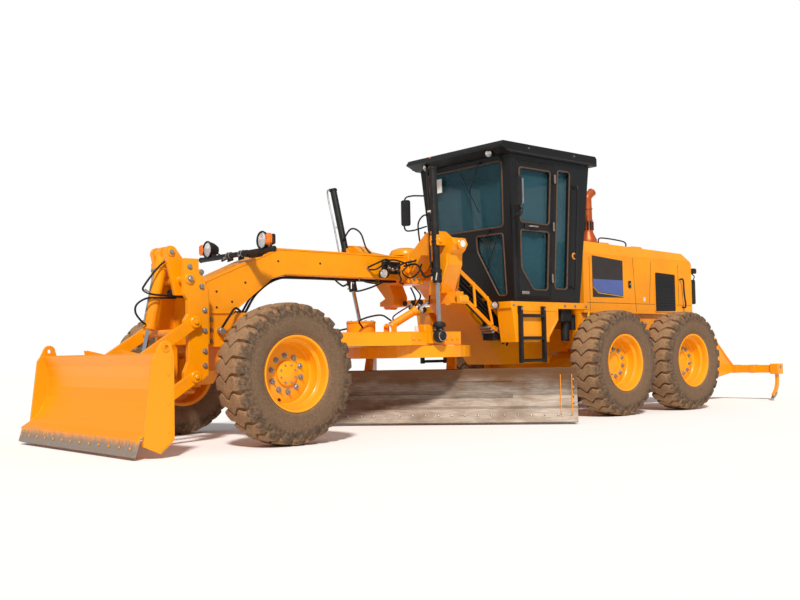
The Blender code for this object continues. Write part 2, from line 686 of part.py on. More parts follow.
DOOR_WINDOWS = (
    [(-3.715, 2.42), (-3.665, 3.09), (-4.25, 3.09), (-4.25, 2.42)],
    [(-3.755, 1.86), (-3.72, 2.33), (-4.25, 2.33), (-4.25, 1.60), (-3.98, 1.60)],
)
QUARTER_WINDOW = [(-4.39, 1.62), (-4.39, 3.12), (-4.63, 3.12), (-4.63, 1.62)]
WINDSHIELD = [(-0.60, 2.37), (0.60, 2.37), (0.66, 3.17), (-0.66, 3.17)]
FRONT_CORNER_PANE = [(0.13, 2.29), (0.585, 2.29), (0.57, 1.53), (0.44, 1.53), (0.13, 2.10)]
REAR_WINDOW = [(-0.52, 1.95), (0.52, 1.95), (0.60, 3.10), (-0.60, 3.10)]
DOOR_OUTLINE = [(DOOR_FRONT[0], DOOR_BOTTOM), (DOOR_FRONT[1], DOOR_TOP), (DOOR_REAR, DOOR_TOP),
                (DOOR_REAR, DOOR_BOTTOM)]


def cab_cutters():
    """Openings in the walls, each cutter longer than its wall."""
    cuts = []
    door_hole = grown(DOOR_OUTLINE, DOOR_GAP)
    for side in (1, -1):
        cuts.append(prism(door_hole, *span(side, 0.45, 1.0)))
        cuts.append(prism(rounded(QUARTER_WINDOW, 0.05), *span(side, 0.45, 1.0)))
        pane = [(side * y, z) for y, z in FRONT_CORNER_PANE]
        cuts.append(prism(rounded(pane, 0.04), -3.8, -3.3, "X"))
    cuts.append(prism(rounded(WINDSHIELD, 0.05), -3.8, -3.3, "X"))
    cuts.append(prism(rounded(REAR_WINDOW, 0.05), -5.2, -4.7, "X"))
    return cuts


def grown(outline, by):
    """An outline moved outwards from its middle, along its two axes."""
    middle = [sum(point[k] for point in outline) / len(outline) for k in (0, 1)]
    return [tuple(point[k] + math.copysign(by, point[k] - middle[k]) for k in (0, 1)) for point in outline]


def cab_shell(carrier):
    inside = cab_body(CAB_WALL, FLOOR_TOP, CAB_TOP + 0.1)
    part("cab_shell", black(), carrier, [cab_body()], cuts=[inside] + cab_cutters())


def sheet_body(outer, thick):
    """A wall's thickness as a block: outside minus inside, given as insets."""
    made = as_object("sheet", cab_body(outer, CAB_BOTTOM - 0.3, CAB_TOP + 0.3))
    combine(made, [as_object("hollow", cab_body(outer + thick, CAB_BOTTOM - 0.4, CAB_TOP + 0.4))],
            "DIFFERENCE")
    bm = bmesh.new()
    bm.from_mesh(made.data)
    bpy.data.objects.remove(made, do_unlink=True)
    return bm


def cab_door(name, side, carrier):
    hinge = pivot(name + "_hinge", (DOOR_REAR, side * cab_x(CAB_HALF, DOOR_BOTTOM), DOOR_BOTTOM), carrier)
    windows = [prism(rounded(outline, 0.05), *span(side, 0.4, 1.1)) for outline in DOOR_WINDOWS]
    panel = prism(DOOR_OUTLINE, *span(side, 0.5, 1.0))
    part(name, black(), hinge, [panel], common=[sheet_body(0, CAB_WALL - 0.005)], cuts=windows)
    pane = [(DOOR_FRONT[0] - 0.02, DOOR_BOTTOM + 0.08), (DOOR_FRONT[1] - 0.02, DOOR_TOP - 0.05),
            (DOOR_REAR + 0.045, DOOR_TOP - 0.05), (DOOR_REAR + 0.045, DOOR_BOTTOM + 0.08)]
    part(name + "_glass", glass(), hinge, [prism(pane, *span(side, 0.5, 1.0))],
         common=[sheet_body(CAB_WALL - 0.005 + GAP, PANE)])


def cab_glass(carrier):
    behind = CAB_WALL + GAP
    front = [(-0.62, FLOOR_TOP + 0.01), (0.62, FLOOR_TOP + 0.01), (0.70, 3.20), (-0.70, 3.20)]
    part("front_glass", glass(), carrier, [prism(front, -3.85, -3.3, "X")],
         common=[sheet_body(behind, PANE)])
    rear = [(-0.58, 1.90), (0.58, 1.90), (0.66, 3.15), (-0.66, 3.15)]
    part("rear_glass", glass(), carrier, [prism(rear, -5.2, -4.7, "X")],
         common=[sheet_body(behind, PANE)])
    for name, side in (("quarter_glass_left", 1), ("quarter_glass_right", -1)):
        pane = [(-4.345, 1.57), (-4.345, 3.17), (-4.68, 3.17), (-4.68, 1.57)]
        part(name, glass(), carrier, [prism(pane, *span(side, 0.5, 1.0))],
             common=[sheet_body(behind, PANE)])


def cab_roof(carrier):
    low = CAB_TOP + GAP
    outline = [(-3.285, 3.31), (-3.33, ROOF_TOP), (-5.10, ROOF_TOP), (-5.13, 3.34), (-5.13, low),
               (-3.46, low)]
    part("cab_roof", black(), carrier, [prism(outline, -0.85, 0.85)])


def operator_seat(carrier):
    floor = FLOOR_TOP + GAP
    solids = [
        box((-4.52, -4.28), (-0.16, 0.16), (floor, 1.80)),
        box((-4.66, -4.14), (-0.26, 0.26), (1.78, 1.92)),
        prism([(-4.56, 1.90), (-4.66, 2.52), (-4.76, 2.52), (-4.70, 1.90)], -0.25, 0.25),
    ]
    part("operator_seat", paint("seat_cloth", (0.05, 0.05, 0.055), 0.85), carrier, solids)


def steering_console(carrier):
    floor = FLOOR_TOP + GAP
    post = [(-3.90, floor), (-3.98, 2.20), (-4.06, 2.22), (-4.10, floor)]
    hub = Vector((-4.02, 0, 2.28))
    wheel_ring = turned([(0.17, -0.014), (0.20, -0.014), (0.20, 0.014), (0.17, 0.014)], (0, 0, 0), "Z", 20,
                        closed=True)
    spokes = box((-0.18, 0.18), (-0.02, 0.02), (-0.012, 0.012))
    tilt = Matrix.Translation(hub) @ Matrix.Rotation(math.radians(-25), 4, "Y")
    for bm in (wheel_ring, spokes):
        bm.transform(tilt)
    solids = [prism(post, -0.16, 0.16), bar(hub - Vector((-0.03, 0, 0.12)), hub, 0.025),
              spokes, wheel_ring]
    part("steering_console", paint("console_plastic", (0.06, 0.06, 0.065), 0.6), carrier, solids)


def cab(carrier):
    cab_shell(carrier)
    cab_roof(carrier)
    cab_door("door_left", 1, carrier)
    cab_door("door_right", -1, carrier)
    cab_glass(carrier)
    operator_seat(carrier)
    steering_console(carrier)


def headlight_bar(carrier):
    x, z = -0.13, 1.90
    solids = [bar((x, -0.71, z), (x, 0.71, z), 0.03)]
    for side in (1, -1):
        solids.append(box((x - 0.03, x + 0.03), span(side, 0.09, 0.12), (1.83, z)))
        solids.append(bar((x - 0.09, side * 0.53, 2.01), (x + 0.07, side * 0.53, 2.01), 0.10, 20))
        solids.append(box((x - 0.02, x + 0.02), span(side, 0.52, 0.54), (z, 1.95)))
        solids.append(box((x - 0.07, x + 0.04), span(side, 0.60, 0.67), (1.95, 2.06)))
    cut = prism([(-0.5, 1.9797), (-0.14, 1.8123 + GAP), (0.38, 1.5863), (0.38, 1.4), (-0.5, 1.4)],
                -BEAM_HALF, BEAM_HALF)
    part("headlight_bar", black(), carrier, solids, cuts=[cut])


# ---------------------------------------------------------------- rear frame
def rear_frame(carrier):
    """Side rails with a belly, the hitch tongue and the ripper's brackets."""
    rails = [(-5.20, RAIL_BOTTOM), (-5.20, HOOD_BOTTOM - GAP), (-7.90, HOOD_BOTTOM - GAP), (-7.90, RAIL_BOTTOM)]
    tongue = arc((HITCH_X, 0), HITCH_EYE, -90, 90, 8) + [(-5.24, 0.2), (-5.24, -0.2)]
    solids = both(lambda side: prism(rails, *span(side, 0.30, 0.44)))
    solids += [
        box((-5.32, -5.19), (-0.42, 0.42), (0.87, 1.32)),
        box((-7.89, -7.75), (-0.42, 0.42), (0.87, 1.32)),
        box((-6.10, -5.60), (-0.42, 0.42), (0.88, 0.95)),
        box((-7.60, -6.95), (-0.42, 0.42), (0.88, 0.95)),
        prism(tongue, 0.83, 1.13, "Z"),
    ]
    bracket = [(-7.85, 0.90), (-7.85, 1.06), (-8.02, 1.06)] + arc((RIPPER_X, RIPPER_Z), 0.07, 100, 260, 6)
    bracket += [(-8.05, 0.50), (-7.85, 0.87)]
    solids += both(lambda side: prism(bracket, *span(side, 0.16, 0.21)))
    part("rear_frame", yellow(), carrier, solids)


def engine(carrier):
    block = box((-6.90, -5.65), (-0.28, 0.28), (0.96, 1.95))
    part("engine_block", paint("engine", (0.12, 0.12, 0.12), 0.6), carrier, [block])


def hood_outline(inset):
    front, rear = HOOD_TOP
    return [(HOOD_FRONT - inset, HOOD_BOTTOM - inset * 3), (HOOD_FRONT - inset, front - inset),
            (-7.68 + inset * 0.4, rear - inset), (HOOD_REAR + inset, 2.10),
            (HOOD_REAR + inset, HOOD_BOTTOM - inset * 3)]


def hood_section(inset):
    """The hood seen from behind, its upper corners cut off."""
    half = HOOD_HALF - inset
    return [(-half, 1.0), (-half, 2.14), (-0.36, 2.36), (0.36, 2.36), (half, 2.14), (half, 1.0)]


def hood(carrier):
    """Hollow engine hood, open below, with its side openings left closed."""
    inner = as_object("inner", prism(hood_outline(HOOD_SHEET), -HOOD_HALF + HOOD_SHEET,
                                     HOOD_HALF - HOOD_SHEET))
    combine(inner, [as_object("section", prism(hood_section(HOOD_SHEET), -9, -5, "X"))], "INTERSECT")
    hollow = bmesh.new()
    hollow.from_mesh(inner.data)
    bpy.data.objects.remove(inner, do_unlink=True)
    part("hood", yellow(), carrier, [prism(hood_outline(0), -HOOD_HALF, HOOD_HALF)],
         common=[prism(hood_section(0), -9, -5, "X")], cuts=[hollow])


def rear_axle(carrier):
    """Both tandem cases, the axle between them and the wheels' stubs."""
    solids = [bar((-WHEELBASE, -0.65, 0.70), (-WHEELBASE, 0.65, 0.70), 0.155, 16)]
    for side in (1, -1):
        solids.append(link((REAR_WHEEL_X, TYRE_RADIUS), (MID_WHEEL_X, TYRE_RADIUS), 0.17,
                           *span(side, TANDEM_IN, TANDEM_OUT), 6))
        for x in (MID_WHEEL_X, REAR_WHEEL_X):
            solids.append(bar((x, side * (TANDEM_OUT - 0.05), TYRE_RADIUS),
                              (x, side * (HUB_FACE - GAP), TYRE_RADIUS), 0.09))
    part("rear_axle", yellow(), carrier, solids)


def exhaust(carrier):
    x, y = -5.68, 0.25
    base = HOOD_TOP[0] - 0.008
    solids = [turned([(0, base), (0.13, base), (0.12, base + 0.05), (0.065, base + 0.14), (0.055, 2.94),
                      (0, 2.94)], (x, y, 0), "Z", 16)]
    solids.append(bar((x, y, 2.90), (x - 0.10, y, 3.03), 0.054, 16))
    part("exhaust_stack", steel(), carrier, solids)


def ripper(carrier):
    hinge = pivot("ripper_hinge", (RIPPER_X, 0, RIPPER_Z), carrier)
    beam_z = 0.49
    plate = [(RIPPER_X + 0.06, RIPPER_Z - 0.02), (RIPPER_X + 0.04, RIPPER_Z + 0.06)]
    plate += arc((-8.80, 0.95), 0.055, 60, 180, 5)
    plate += [(RIPPER_BEAM_X + 0.02, beam_z + 0.05), (RIPPER_BEAM_X + 0.02, beam_z - 0.05),
              (-8.80, 0.36), (RIPPER_X, RIPPER_Z - 0.07)]
    solids = both(lambda side: prism(plate, *span(side, 0.222, 0.262)))
    solids.append(box((RIPPER_BEAM_X - 0.06, RIPPER_BEAM_X + 0.06), (-RIPPER_HALF, RIPPER_HALF),
                      (beam_z - 0.06, beam_z + 0.06)))
    solids.append(bar((RIPPER_X - 0.14, -0.25, RIPPER_Z), (RIPPER_X - 0.14, 0.25, RIPPER_Z), 0.03))
    for side in (1, -1):
        solids.append(box((RIPPER_BEAM_X - 0.085, RIPPER_BEAM_X + 0.085),
                          span(side, RIPPER_HALF - 0.13, RIPPER_HALF), (beam_z - 0.08, beam_z + 0.08)))
        outer = arc((RIPPER_BEAM_X + 0.30, 0.34), 0.345, 150, 236, 6)
        inner = arc((RIPPER_BEAM_X + 0.30, 0.34), 0.285, 240, 150, 6)
        solids.append(prism(outer + inner, *span(side, RIPPER_HALF - 0.085, RIPPER_HALF - 0.045)))
    part("ripper", yellow(), hinge, solids)
    start = (-7.98, 0, 0.98)
    end = (-8.80, 0, 0.95)
    pin = pivot("ripper_cylinder_pin", start, carrier)
    slide = pivot("ripper_rod_slide", end, pin)
    cylinder_pair(("ripper_cylinder", "ripper_rod"), start, end, 0.58, 0.42, 0.05, 0.025,
                  (0.06, 0.04), (pin, slide), bore=False)


def rear_group(carrier):
    hitch = pivot("articulation_hinge", (HITCH_X, 0, 1.0), carrier)
    rear_frame(hitch)
    engine(hitch)
    hood(hitch)
    exhaust(hitch)
    rear_axle(hitch)
    for row, x in (("mid", MID_WHEEL_X), ("rear", REAR_WHEEL_X)):
        wheel(row + "_left", x, 1, hitch)
        wheel(row + "_right", x, -1, hitch)
    ripper(hitch)


def main():
    root = bpy.data.objects.new("grader", None)
    bpy.context.collection.objects.link(root)
    root.location = ORIGIN
    front_end(root)
    main_frame(root)
    lift_yoke(root)
    headlight_bar(root)
    blade_group(root)
    dozer_group(root)
    cab_platform(root)
    ladder("ladder_left", 1, root)
    ladder("ladder_right", -1, root)
    cab(root)
    rear_group(root)


main()
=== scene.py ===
"""Looks for the motor grader: fine shapes, materials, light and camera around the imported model.

Places are written from the front axle (X forward, Y left, Z up, metres) and moved by AXLE.
"""
import math

import bmesh
import bpy
import numpy as np
from mathutils import Matrix, Vector


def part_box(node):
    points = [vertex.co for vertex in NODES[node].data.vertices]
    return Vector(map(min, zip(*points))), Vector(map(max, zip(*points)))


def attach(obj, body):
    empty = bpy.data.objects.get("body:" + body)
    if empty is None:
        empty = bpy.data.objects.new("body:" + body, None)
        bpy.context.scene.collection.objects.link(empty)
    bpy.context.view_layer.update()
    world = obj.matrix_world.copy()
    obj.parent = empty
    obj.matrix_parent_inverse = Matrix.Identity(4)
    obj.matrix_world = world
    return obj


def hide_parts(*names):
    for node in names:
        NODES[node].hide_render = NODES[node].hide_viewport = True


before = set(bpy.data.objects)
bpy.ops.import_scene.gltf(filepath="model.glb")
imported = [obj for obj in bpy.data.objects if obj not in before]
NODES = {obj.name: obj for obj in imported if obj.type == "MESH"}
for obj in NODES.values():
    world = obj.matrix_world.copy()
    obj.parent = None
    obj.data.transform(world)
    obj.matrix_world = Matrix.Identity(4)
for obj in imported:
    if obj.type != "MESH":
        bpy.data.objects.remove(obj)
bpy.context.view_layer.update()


def middle(node):
    low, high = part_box(node)
    return (low + high) / 2


AXLE = (middle("front_left_tyre") + middle("front_right_tyre")) / 2
AXLE.z = 0


# ---------------------------------------------------------------- node materials
class Nodes:
    """Short calls for building one material's node tree."""

    def __init__(self, name, **shader):
        self.made = bpy.data.materials.new(name)
        self.made.use_nodes = True
        self.tree = self.made.node_tree
        self.shader = self.tree.nodes["Principled BSDF"]
        for key, value in shader.items():
            socket = self.shader.inputs[key.replace("_", " ")]
            socket.default_value = (*value, 1.0) if isinstance(value, tuple) else value
        self.place = self.tree.nodes.new("ShaderNodeTexCoord").outputs["Object"]

    def new(self, kind, **inputs):
        node = self.tree.nodes.new("ShaderNode" + kind)
        for key, value in inputs.items():
            self.put(node.inputs[key], value)
        return node

    def put(self, socket, value):
        if isinstance(value, bpy.types.NodeSocket):
            self.tree.links.new(value, socket)
        elif isinstance(value, tuple) and socket.type == "RGBA" and len(value) == 3:
            socket.default_value = (*value, 1.0)
        else:
            socket.default_value = value

    def noise(self, scale, detail=4.0, rough=0.6, at=None, stretch=None, distort=0.0):
        spot = at or self.place
        if stretch:
            mapping = self.new("Mapping", Vector=spot, Scale=stretch)
            spot = mapping.outputs[0]
        return self.new("TexNoise", Vector=spot, Scale=scale, Detail=detail, Roughness=rough,
                        Distortion=distort).outputs["Fac"]

    def ramp(self, value, low, high, to_low=0.0, to_high=1.0):
        node = self.new("MapRange", Value=value)
        for key, number in (("From Min", low), ("From Max", high), ("To Min", to_low), ("To Max", to_high)):
            node.inputs[key].default_value = number
        node.interpolation_type = "SMOOTHSTEP"
        return node.outputs[0]

    def math(self, operation, one, two=0.0):
        node = self.tree.nodes.new("ShaderNodeMath")
        node.operation = operation
        self.put(node.inputs[0], one)
        self.put(node.inputs[1], two)
        return node.outputs[0]

    def mix(self, share, one, two):
        node = self.tree.nodes.new("ShaderNodeMix")
        node.data_type = "RGBA"
        node.clamp_factor = True
        self.put(node.inputs[0], share)
        self.put(node.inputs[6], one)
        self.put(node.inputs[7], two)
        return node.outputs[2]

    def axis(self, which, at=None):
        split = self.new("SeparateXYZ", Vector=at or self.place)
        return split.outputs["XYZ".index(which)]

    def facing_up(self):
        normal = self.tree.nodes.new("ShaderNodeNewGeometry").outputs["Normal"]
        return self.axis("Z", normal)

    def colour(self, value):
        self.put(self.shader.inputs["Base Color"], value)

    def rough(self, value):
        self.put(self.shader.inputs["Roughness"], value)

    def bump(self, height, strength=0.2, distance=0.002):
        node = self.new("Bump", Height=height)
        node.inputs["Strength"].default_value = strength
        node.inputs["Distance"].default_value = distance
        self.put(self.shader.inputs["Normal"], node.outputs[0])


DUST = (0.5, 0.29, 0.13)


def paint(name, colour, dark, rough=0.3, dust=0.13, low_dust=0.3, coat=0.12):
    """Sprayed enamel: faint mottling, dust in patches, on flat tops and low down."""
    n = Nodes(name, Coat_Weight=coat, Coat_Roughness=0.15, Specular_IOR_Level=0.32)
    patches = n.noise(2.3, 6.0, 0.62)
    fine = n.noise(46.0, 5.0, 0.7)
    specks = n.ramp(n.noise(150.0, 3.0, 0.8), 0.6, 0.78)
    tone = n.mix(n.ramp(patches, 0.36, 0.7), colour, dark)
    top = n.math("MULTIPLY", n.ramp(n.facing_up(), 0.55, 0.98), 0.28)
    low = n.ramp(n.axis("Z"), 1.15, 0.15, 0.0, low_dust)
    spread = n.math("MULTIPLY", n.ramp(fine, 0.42, 0.72), n.ramp(patches, 0.4, 0.66))
    film = n.math("MULTIPLY", n.math("ADD", n.math("ADD", top, low), dust), spread)
    film = n.math("ADD", film, n.math("MULTIPLY", specks, 0.1))
    n.colour(n.mix(film, tone, DUST))
    n.rough(n.ramp(film, 0.0, 0.5, rough, 0.72))
    n.bump(n.noise(320.0, 2.0, 0.5), 0.05, 0.001)
    return n.made


def plain(name, colour, other, rough=0.5, metallic=0.0, scale=9.0, grain=120.0, bump=0.15,
          spread=(0.35, 0.7), stretch=None, **more):
    """Two tones mottled together, with a fine grain in roughness and bump."""
    n = Nodes(name, Metallic=metallic, **more)
    patches = n.noise(scale, 6.0, 0.65, stretch=stretch)
    fine = n.noise(grain, 3.0, 0.6, stretch=stretch)
    n.colour(n.mix(n.ramp(patches, *spread), colour, other))
    n.rough(n.ramp(fine, 0.3, 0.7, rough * 0.82, min(1.0, rough * 1.2)))
    n.bump(fine, bump, 0.001)
    return n.made


def mud_rubber():
    """Tyre rubber caked with dry mud, rubbed black round the shoulders."""
    n = Nodes("muddy_tyre", Specular_IOR_Level=0.25)
    x, y, z = (n.axis(k) for k in "XYZ")
    out = n.math("SQRT", n.math("ADD", n.math("MULTIPLY", x, x), n.math("MULTIPLY", z, z)))
    across = n.math("ABSOLUTE", y)
    fine = n.noise(60.0, 8.0, 0.72)
    patches = n.noise(9.0, 6.0, 0.62)
    cakes = n.noise(24.0, 5.0, 0.6, distort=0.4)
    light = n.mix(n.ramp(fine, 0.3, 0.72), (0.235, 0.125, 0.062), (0.42, 0.255, 0.135))
    side = n.mix(n.ramp(fine, 0.25, 0.75), (0.115, 0.07, 0.041), (0.215, 0.13, 0.077))
    mud = n.mix(n.ramp(across, 0.165, 0.205), light, side)
    mud = n.mix(n.math("MULTIPLY", n.ramp(patches, 0.5, 0.7), 0.45), mud, (0.12, 0.078, 0.045))
    shoulder = n.math("MULTIPLY", n.ramp(across, 0.15, 0.185), n.ramp(out, 0.5, 0.56))
    worn = n.math("MULTIPLY", shoulder, n.ramp(cakes, 0.42, 0.56))
    rubber = n.mix(n.ramp(fine, 0.3, 0.8), (0.01, 0.01, 0.011), (0.05, 0.042, 0.034))
    n.colour(n.mix(n.math("MULTIPLY", worn, 0.5), mud, rubber))
    n.rough(n.ramp(fine, 0.2, 0.8, 0.82, 0.97))
    n.bump(n.math("ADD", n.math("MULTIPLY", cakes, 1.5), fine), 0.55, 0.006)
    return n.made


def blade_steel():
    """Sheet polished by soil: fine scratches along it, earth on its upper part."""
    n = Nodes("polished_blade", Metallic=0.45, Specular_IOR_Level=0.3)
    turn = n.new("VectorRotate", Vector=n.place)
    turn.rotation_type = "Z_AXIS"
    turn.inputs["Angle"].default_value = math.radians(-130.2)
    spot = turn.outputs[0]
    streaks = n.noise(5.0, 8.0, 0.7, at=spot, stretch=(1.2, 14.0, 30.0))
    blots = n.noise(2.6, 6.0, 0.62, at=spot, stretch=(1.0, 1.0, 2.2))
    metal = n.mix(n.ramp(streaks, 0.3, 0.72), (0.16, 0.128, 0.102), (0.37, 0.3, 0.245))
    metal = n.mix(n.ramp(blots, 0.4, 0.7), metal, (0.15, 0.105, 0.075))
    height = n.math("ADD", n.axis("Z"), n.math("MULTIPLY", n.math("SUBTRACT", blots, 0.5), 0.35))
    earth = n.ramp(height, 0.38, 0.6)
    n.colour(n.mix(n.math("MULTIPLY", earth, 0.85), metal, (0.2, 0.09, 0.035)))
    n.rough(n.ramp(n.math("ADD", earth, n.math("MULTIPLY", streaks, 0.4)), 0.1, 1.1, 0.5, 0.8))
    n.bump(streaks, 0.12, 0.002)
    return n.made


def worn_edge(name, low, high, painted=0.0, steel=(0.23, 0.185, 0.15), colour=(0.98, 0.35, 0.004)):
    """Paint above, rubbed to steel in upright strokes below."""
    n = Nodes(name, Metallic=0.25)
    strokes = n.noise(6.0, 6.0, 0.7, stretch=(3.0, 9.0, 0.8))
    fine = n.noise(70.0, 5.0, 0.7)
    height = n.math("ADD", n.axis("Z"), n.math("MULTIPLY", n.math("SUBTRACT", strokes, 0.5), 0.16))
    share = n.math("MAXIMUM", n.ramp(height, low, high), n.ramp(n.axis("X"), 5.475, 5.46, 0.0, painted))
    metal = n.mix(n.ramp(fine, 0.3, 0.7), steel, tuple(1.5 * c for c in steel))
    n.colour(n.mix(share, metal, colour))
    n.rough(n.ramp(share, 0.0, 1.0, 0.55, 0.38))
    n.bump(fine, 0.2, 0.001)
    return n.made


def glass(name, colour, alpha, rough=0.03):
    n = Nodes(name, Alpha=alpha, Roughness=rough, IOR=1.45, Specular_IOR_Level=0.35)
    smear = n.noise(3.0, 5.0, 0.6)
    n.colour(n.mix(n.ramp(smear, 0.35, 0.7), colour, tuple(c * 0.82 for c in colour)))
    return n.made


ORANGE_LIT = (0.95, 0.33, 0.001)
ORANGE_DEEP = (0.86, 0.28, 0.001)
ORANGE = paint("orange_enamel", ORANGE_LIT, ORANGE_DEEP)
RIM = paint("wheel_enamel", (0.96, 0.37, 0.002), (0.88, 0.32, 0.002), rough=0.36, dust=0.16, low_dust=0.12)
BLACK = paint("black_enamel", (0.0075, 0.0085, 0.0105), (0.0055, 0.006, 0.007), rough=0.42, dust=0.015,
              low_dust=0.05, coat=0.0)
SATIN = plain("black_steel", (0.0085, 0.009, 0.01), (0.02, 0.018, 0.016), 0.5, Specular_IOR_Level=0.3)
RUBBER = plain("hose_rubber", (0.007, 0.007, 0.008), (0.018, 0.015, 0.012), 0.6, grain=400.0,
               Specular_IOR_Level=0.25)
PLASTIC = plain("dark_plastic", (0.008, 0.008, 0.009), (0.015, 0.015, 0.016), 0.55, grain=700.0,
                Specular_IOR_Level=0.3)
GASKET = plain("window_gasket", (0.115, 0.058, 0.03), (0.065, 0.036, 0.021), 0.6, scale=30.0)
ZINC = plain("zinc_bolt", (0.4, 0.37, 0.34), (0.23, 0.2, 0.18), 0.42, 0.6, scale=60.0)
STEEL = plain("bare_steel", (0.52, 0.52, 0.53), (0.36, 0.35, 0.34), 0.32, 0.9, scale=20.0)
CHROME = plain("chromed_rod", (0.82, 0.83, 0.85), (0.7, 0.71, 0.73), 0.12, 1.0, scale=14.0, bump=0.02)
MUD_TYRE = mud_rubber()
BLADE = blade_steel()
DOZER = worn_edge("front_blade_paint", 0.105, 0.185, painted=1.0)
GLASS = glass("cab_pane", (0.03, 0.1, 0.13), 0.62)
LENS = glass("lamp_lens", (0.86, 0.88, 0.9), 0.35)
AMBER = plain("amber_lens", (0.95, 0.22, 0.01), (0.75, 0.12, 0.005), 0.2, scale=30.0, grain=200.0,
              Coat_Weight=0.6)
RED = plain("red_paint", (0.72, 0.03, 0.015), (0.55, 0.02, 0.012), 0.4)
YELLOW = plain("yellow_paint", (0.9, 0.58, 0.02), (0.75, 0.45, 0.02), 0.4)
MIRROR = plain("bright_reflector", (0.88, 0.88, 0.88), (0.8, 0.8, 0.8), 0.08, 1.0, bump=0.01)
WHITE = plain("white_plastic", (0.8, 0.79, 0.76), (0.68, 0.66, 0.62), 0.4)
SEAT = plain("seat_cloth", (0.035, 0.036, 0.04), (0.055, 0.054, 0.054), 0.85, scale=40.0, grain=500.0,
             bump=0.5, Sheen_Weight=0.3)
HEAT = plain("heat_browned", (0.56, 0.105, 0.018), (0.3, 0.06, 0.012), 0.42, 0.35, scale=6.0,
             spread=(0.3, 0.8))
BRASS = plain("copper_pipe", (0.6, 0.3, 0.13), (0.42, 0.2, 0.1), 0.4, 0.7)
BLUE = plain("blue_film", (0.085, 0.125, 0.36), (0.075, 0.11, 0.32), 0.35)
BROWN = plain("dark_film", (0.03, 0.021, 0.019), (0.022, 0.016, 0.014), 0.35)


# ---------------------------------------------------------------- shapes
def spin_to(axis):
    return Vector(axis).normalized().to_track_quat("Z", "Y").to_matrix().to_4x4()


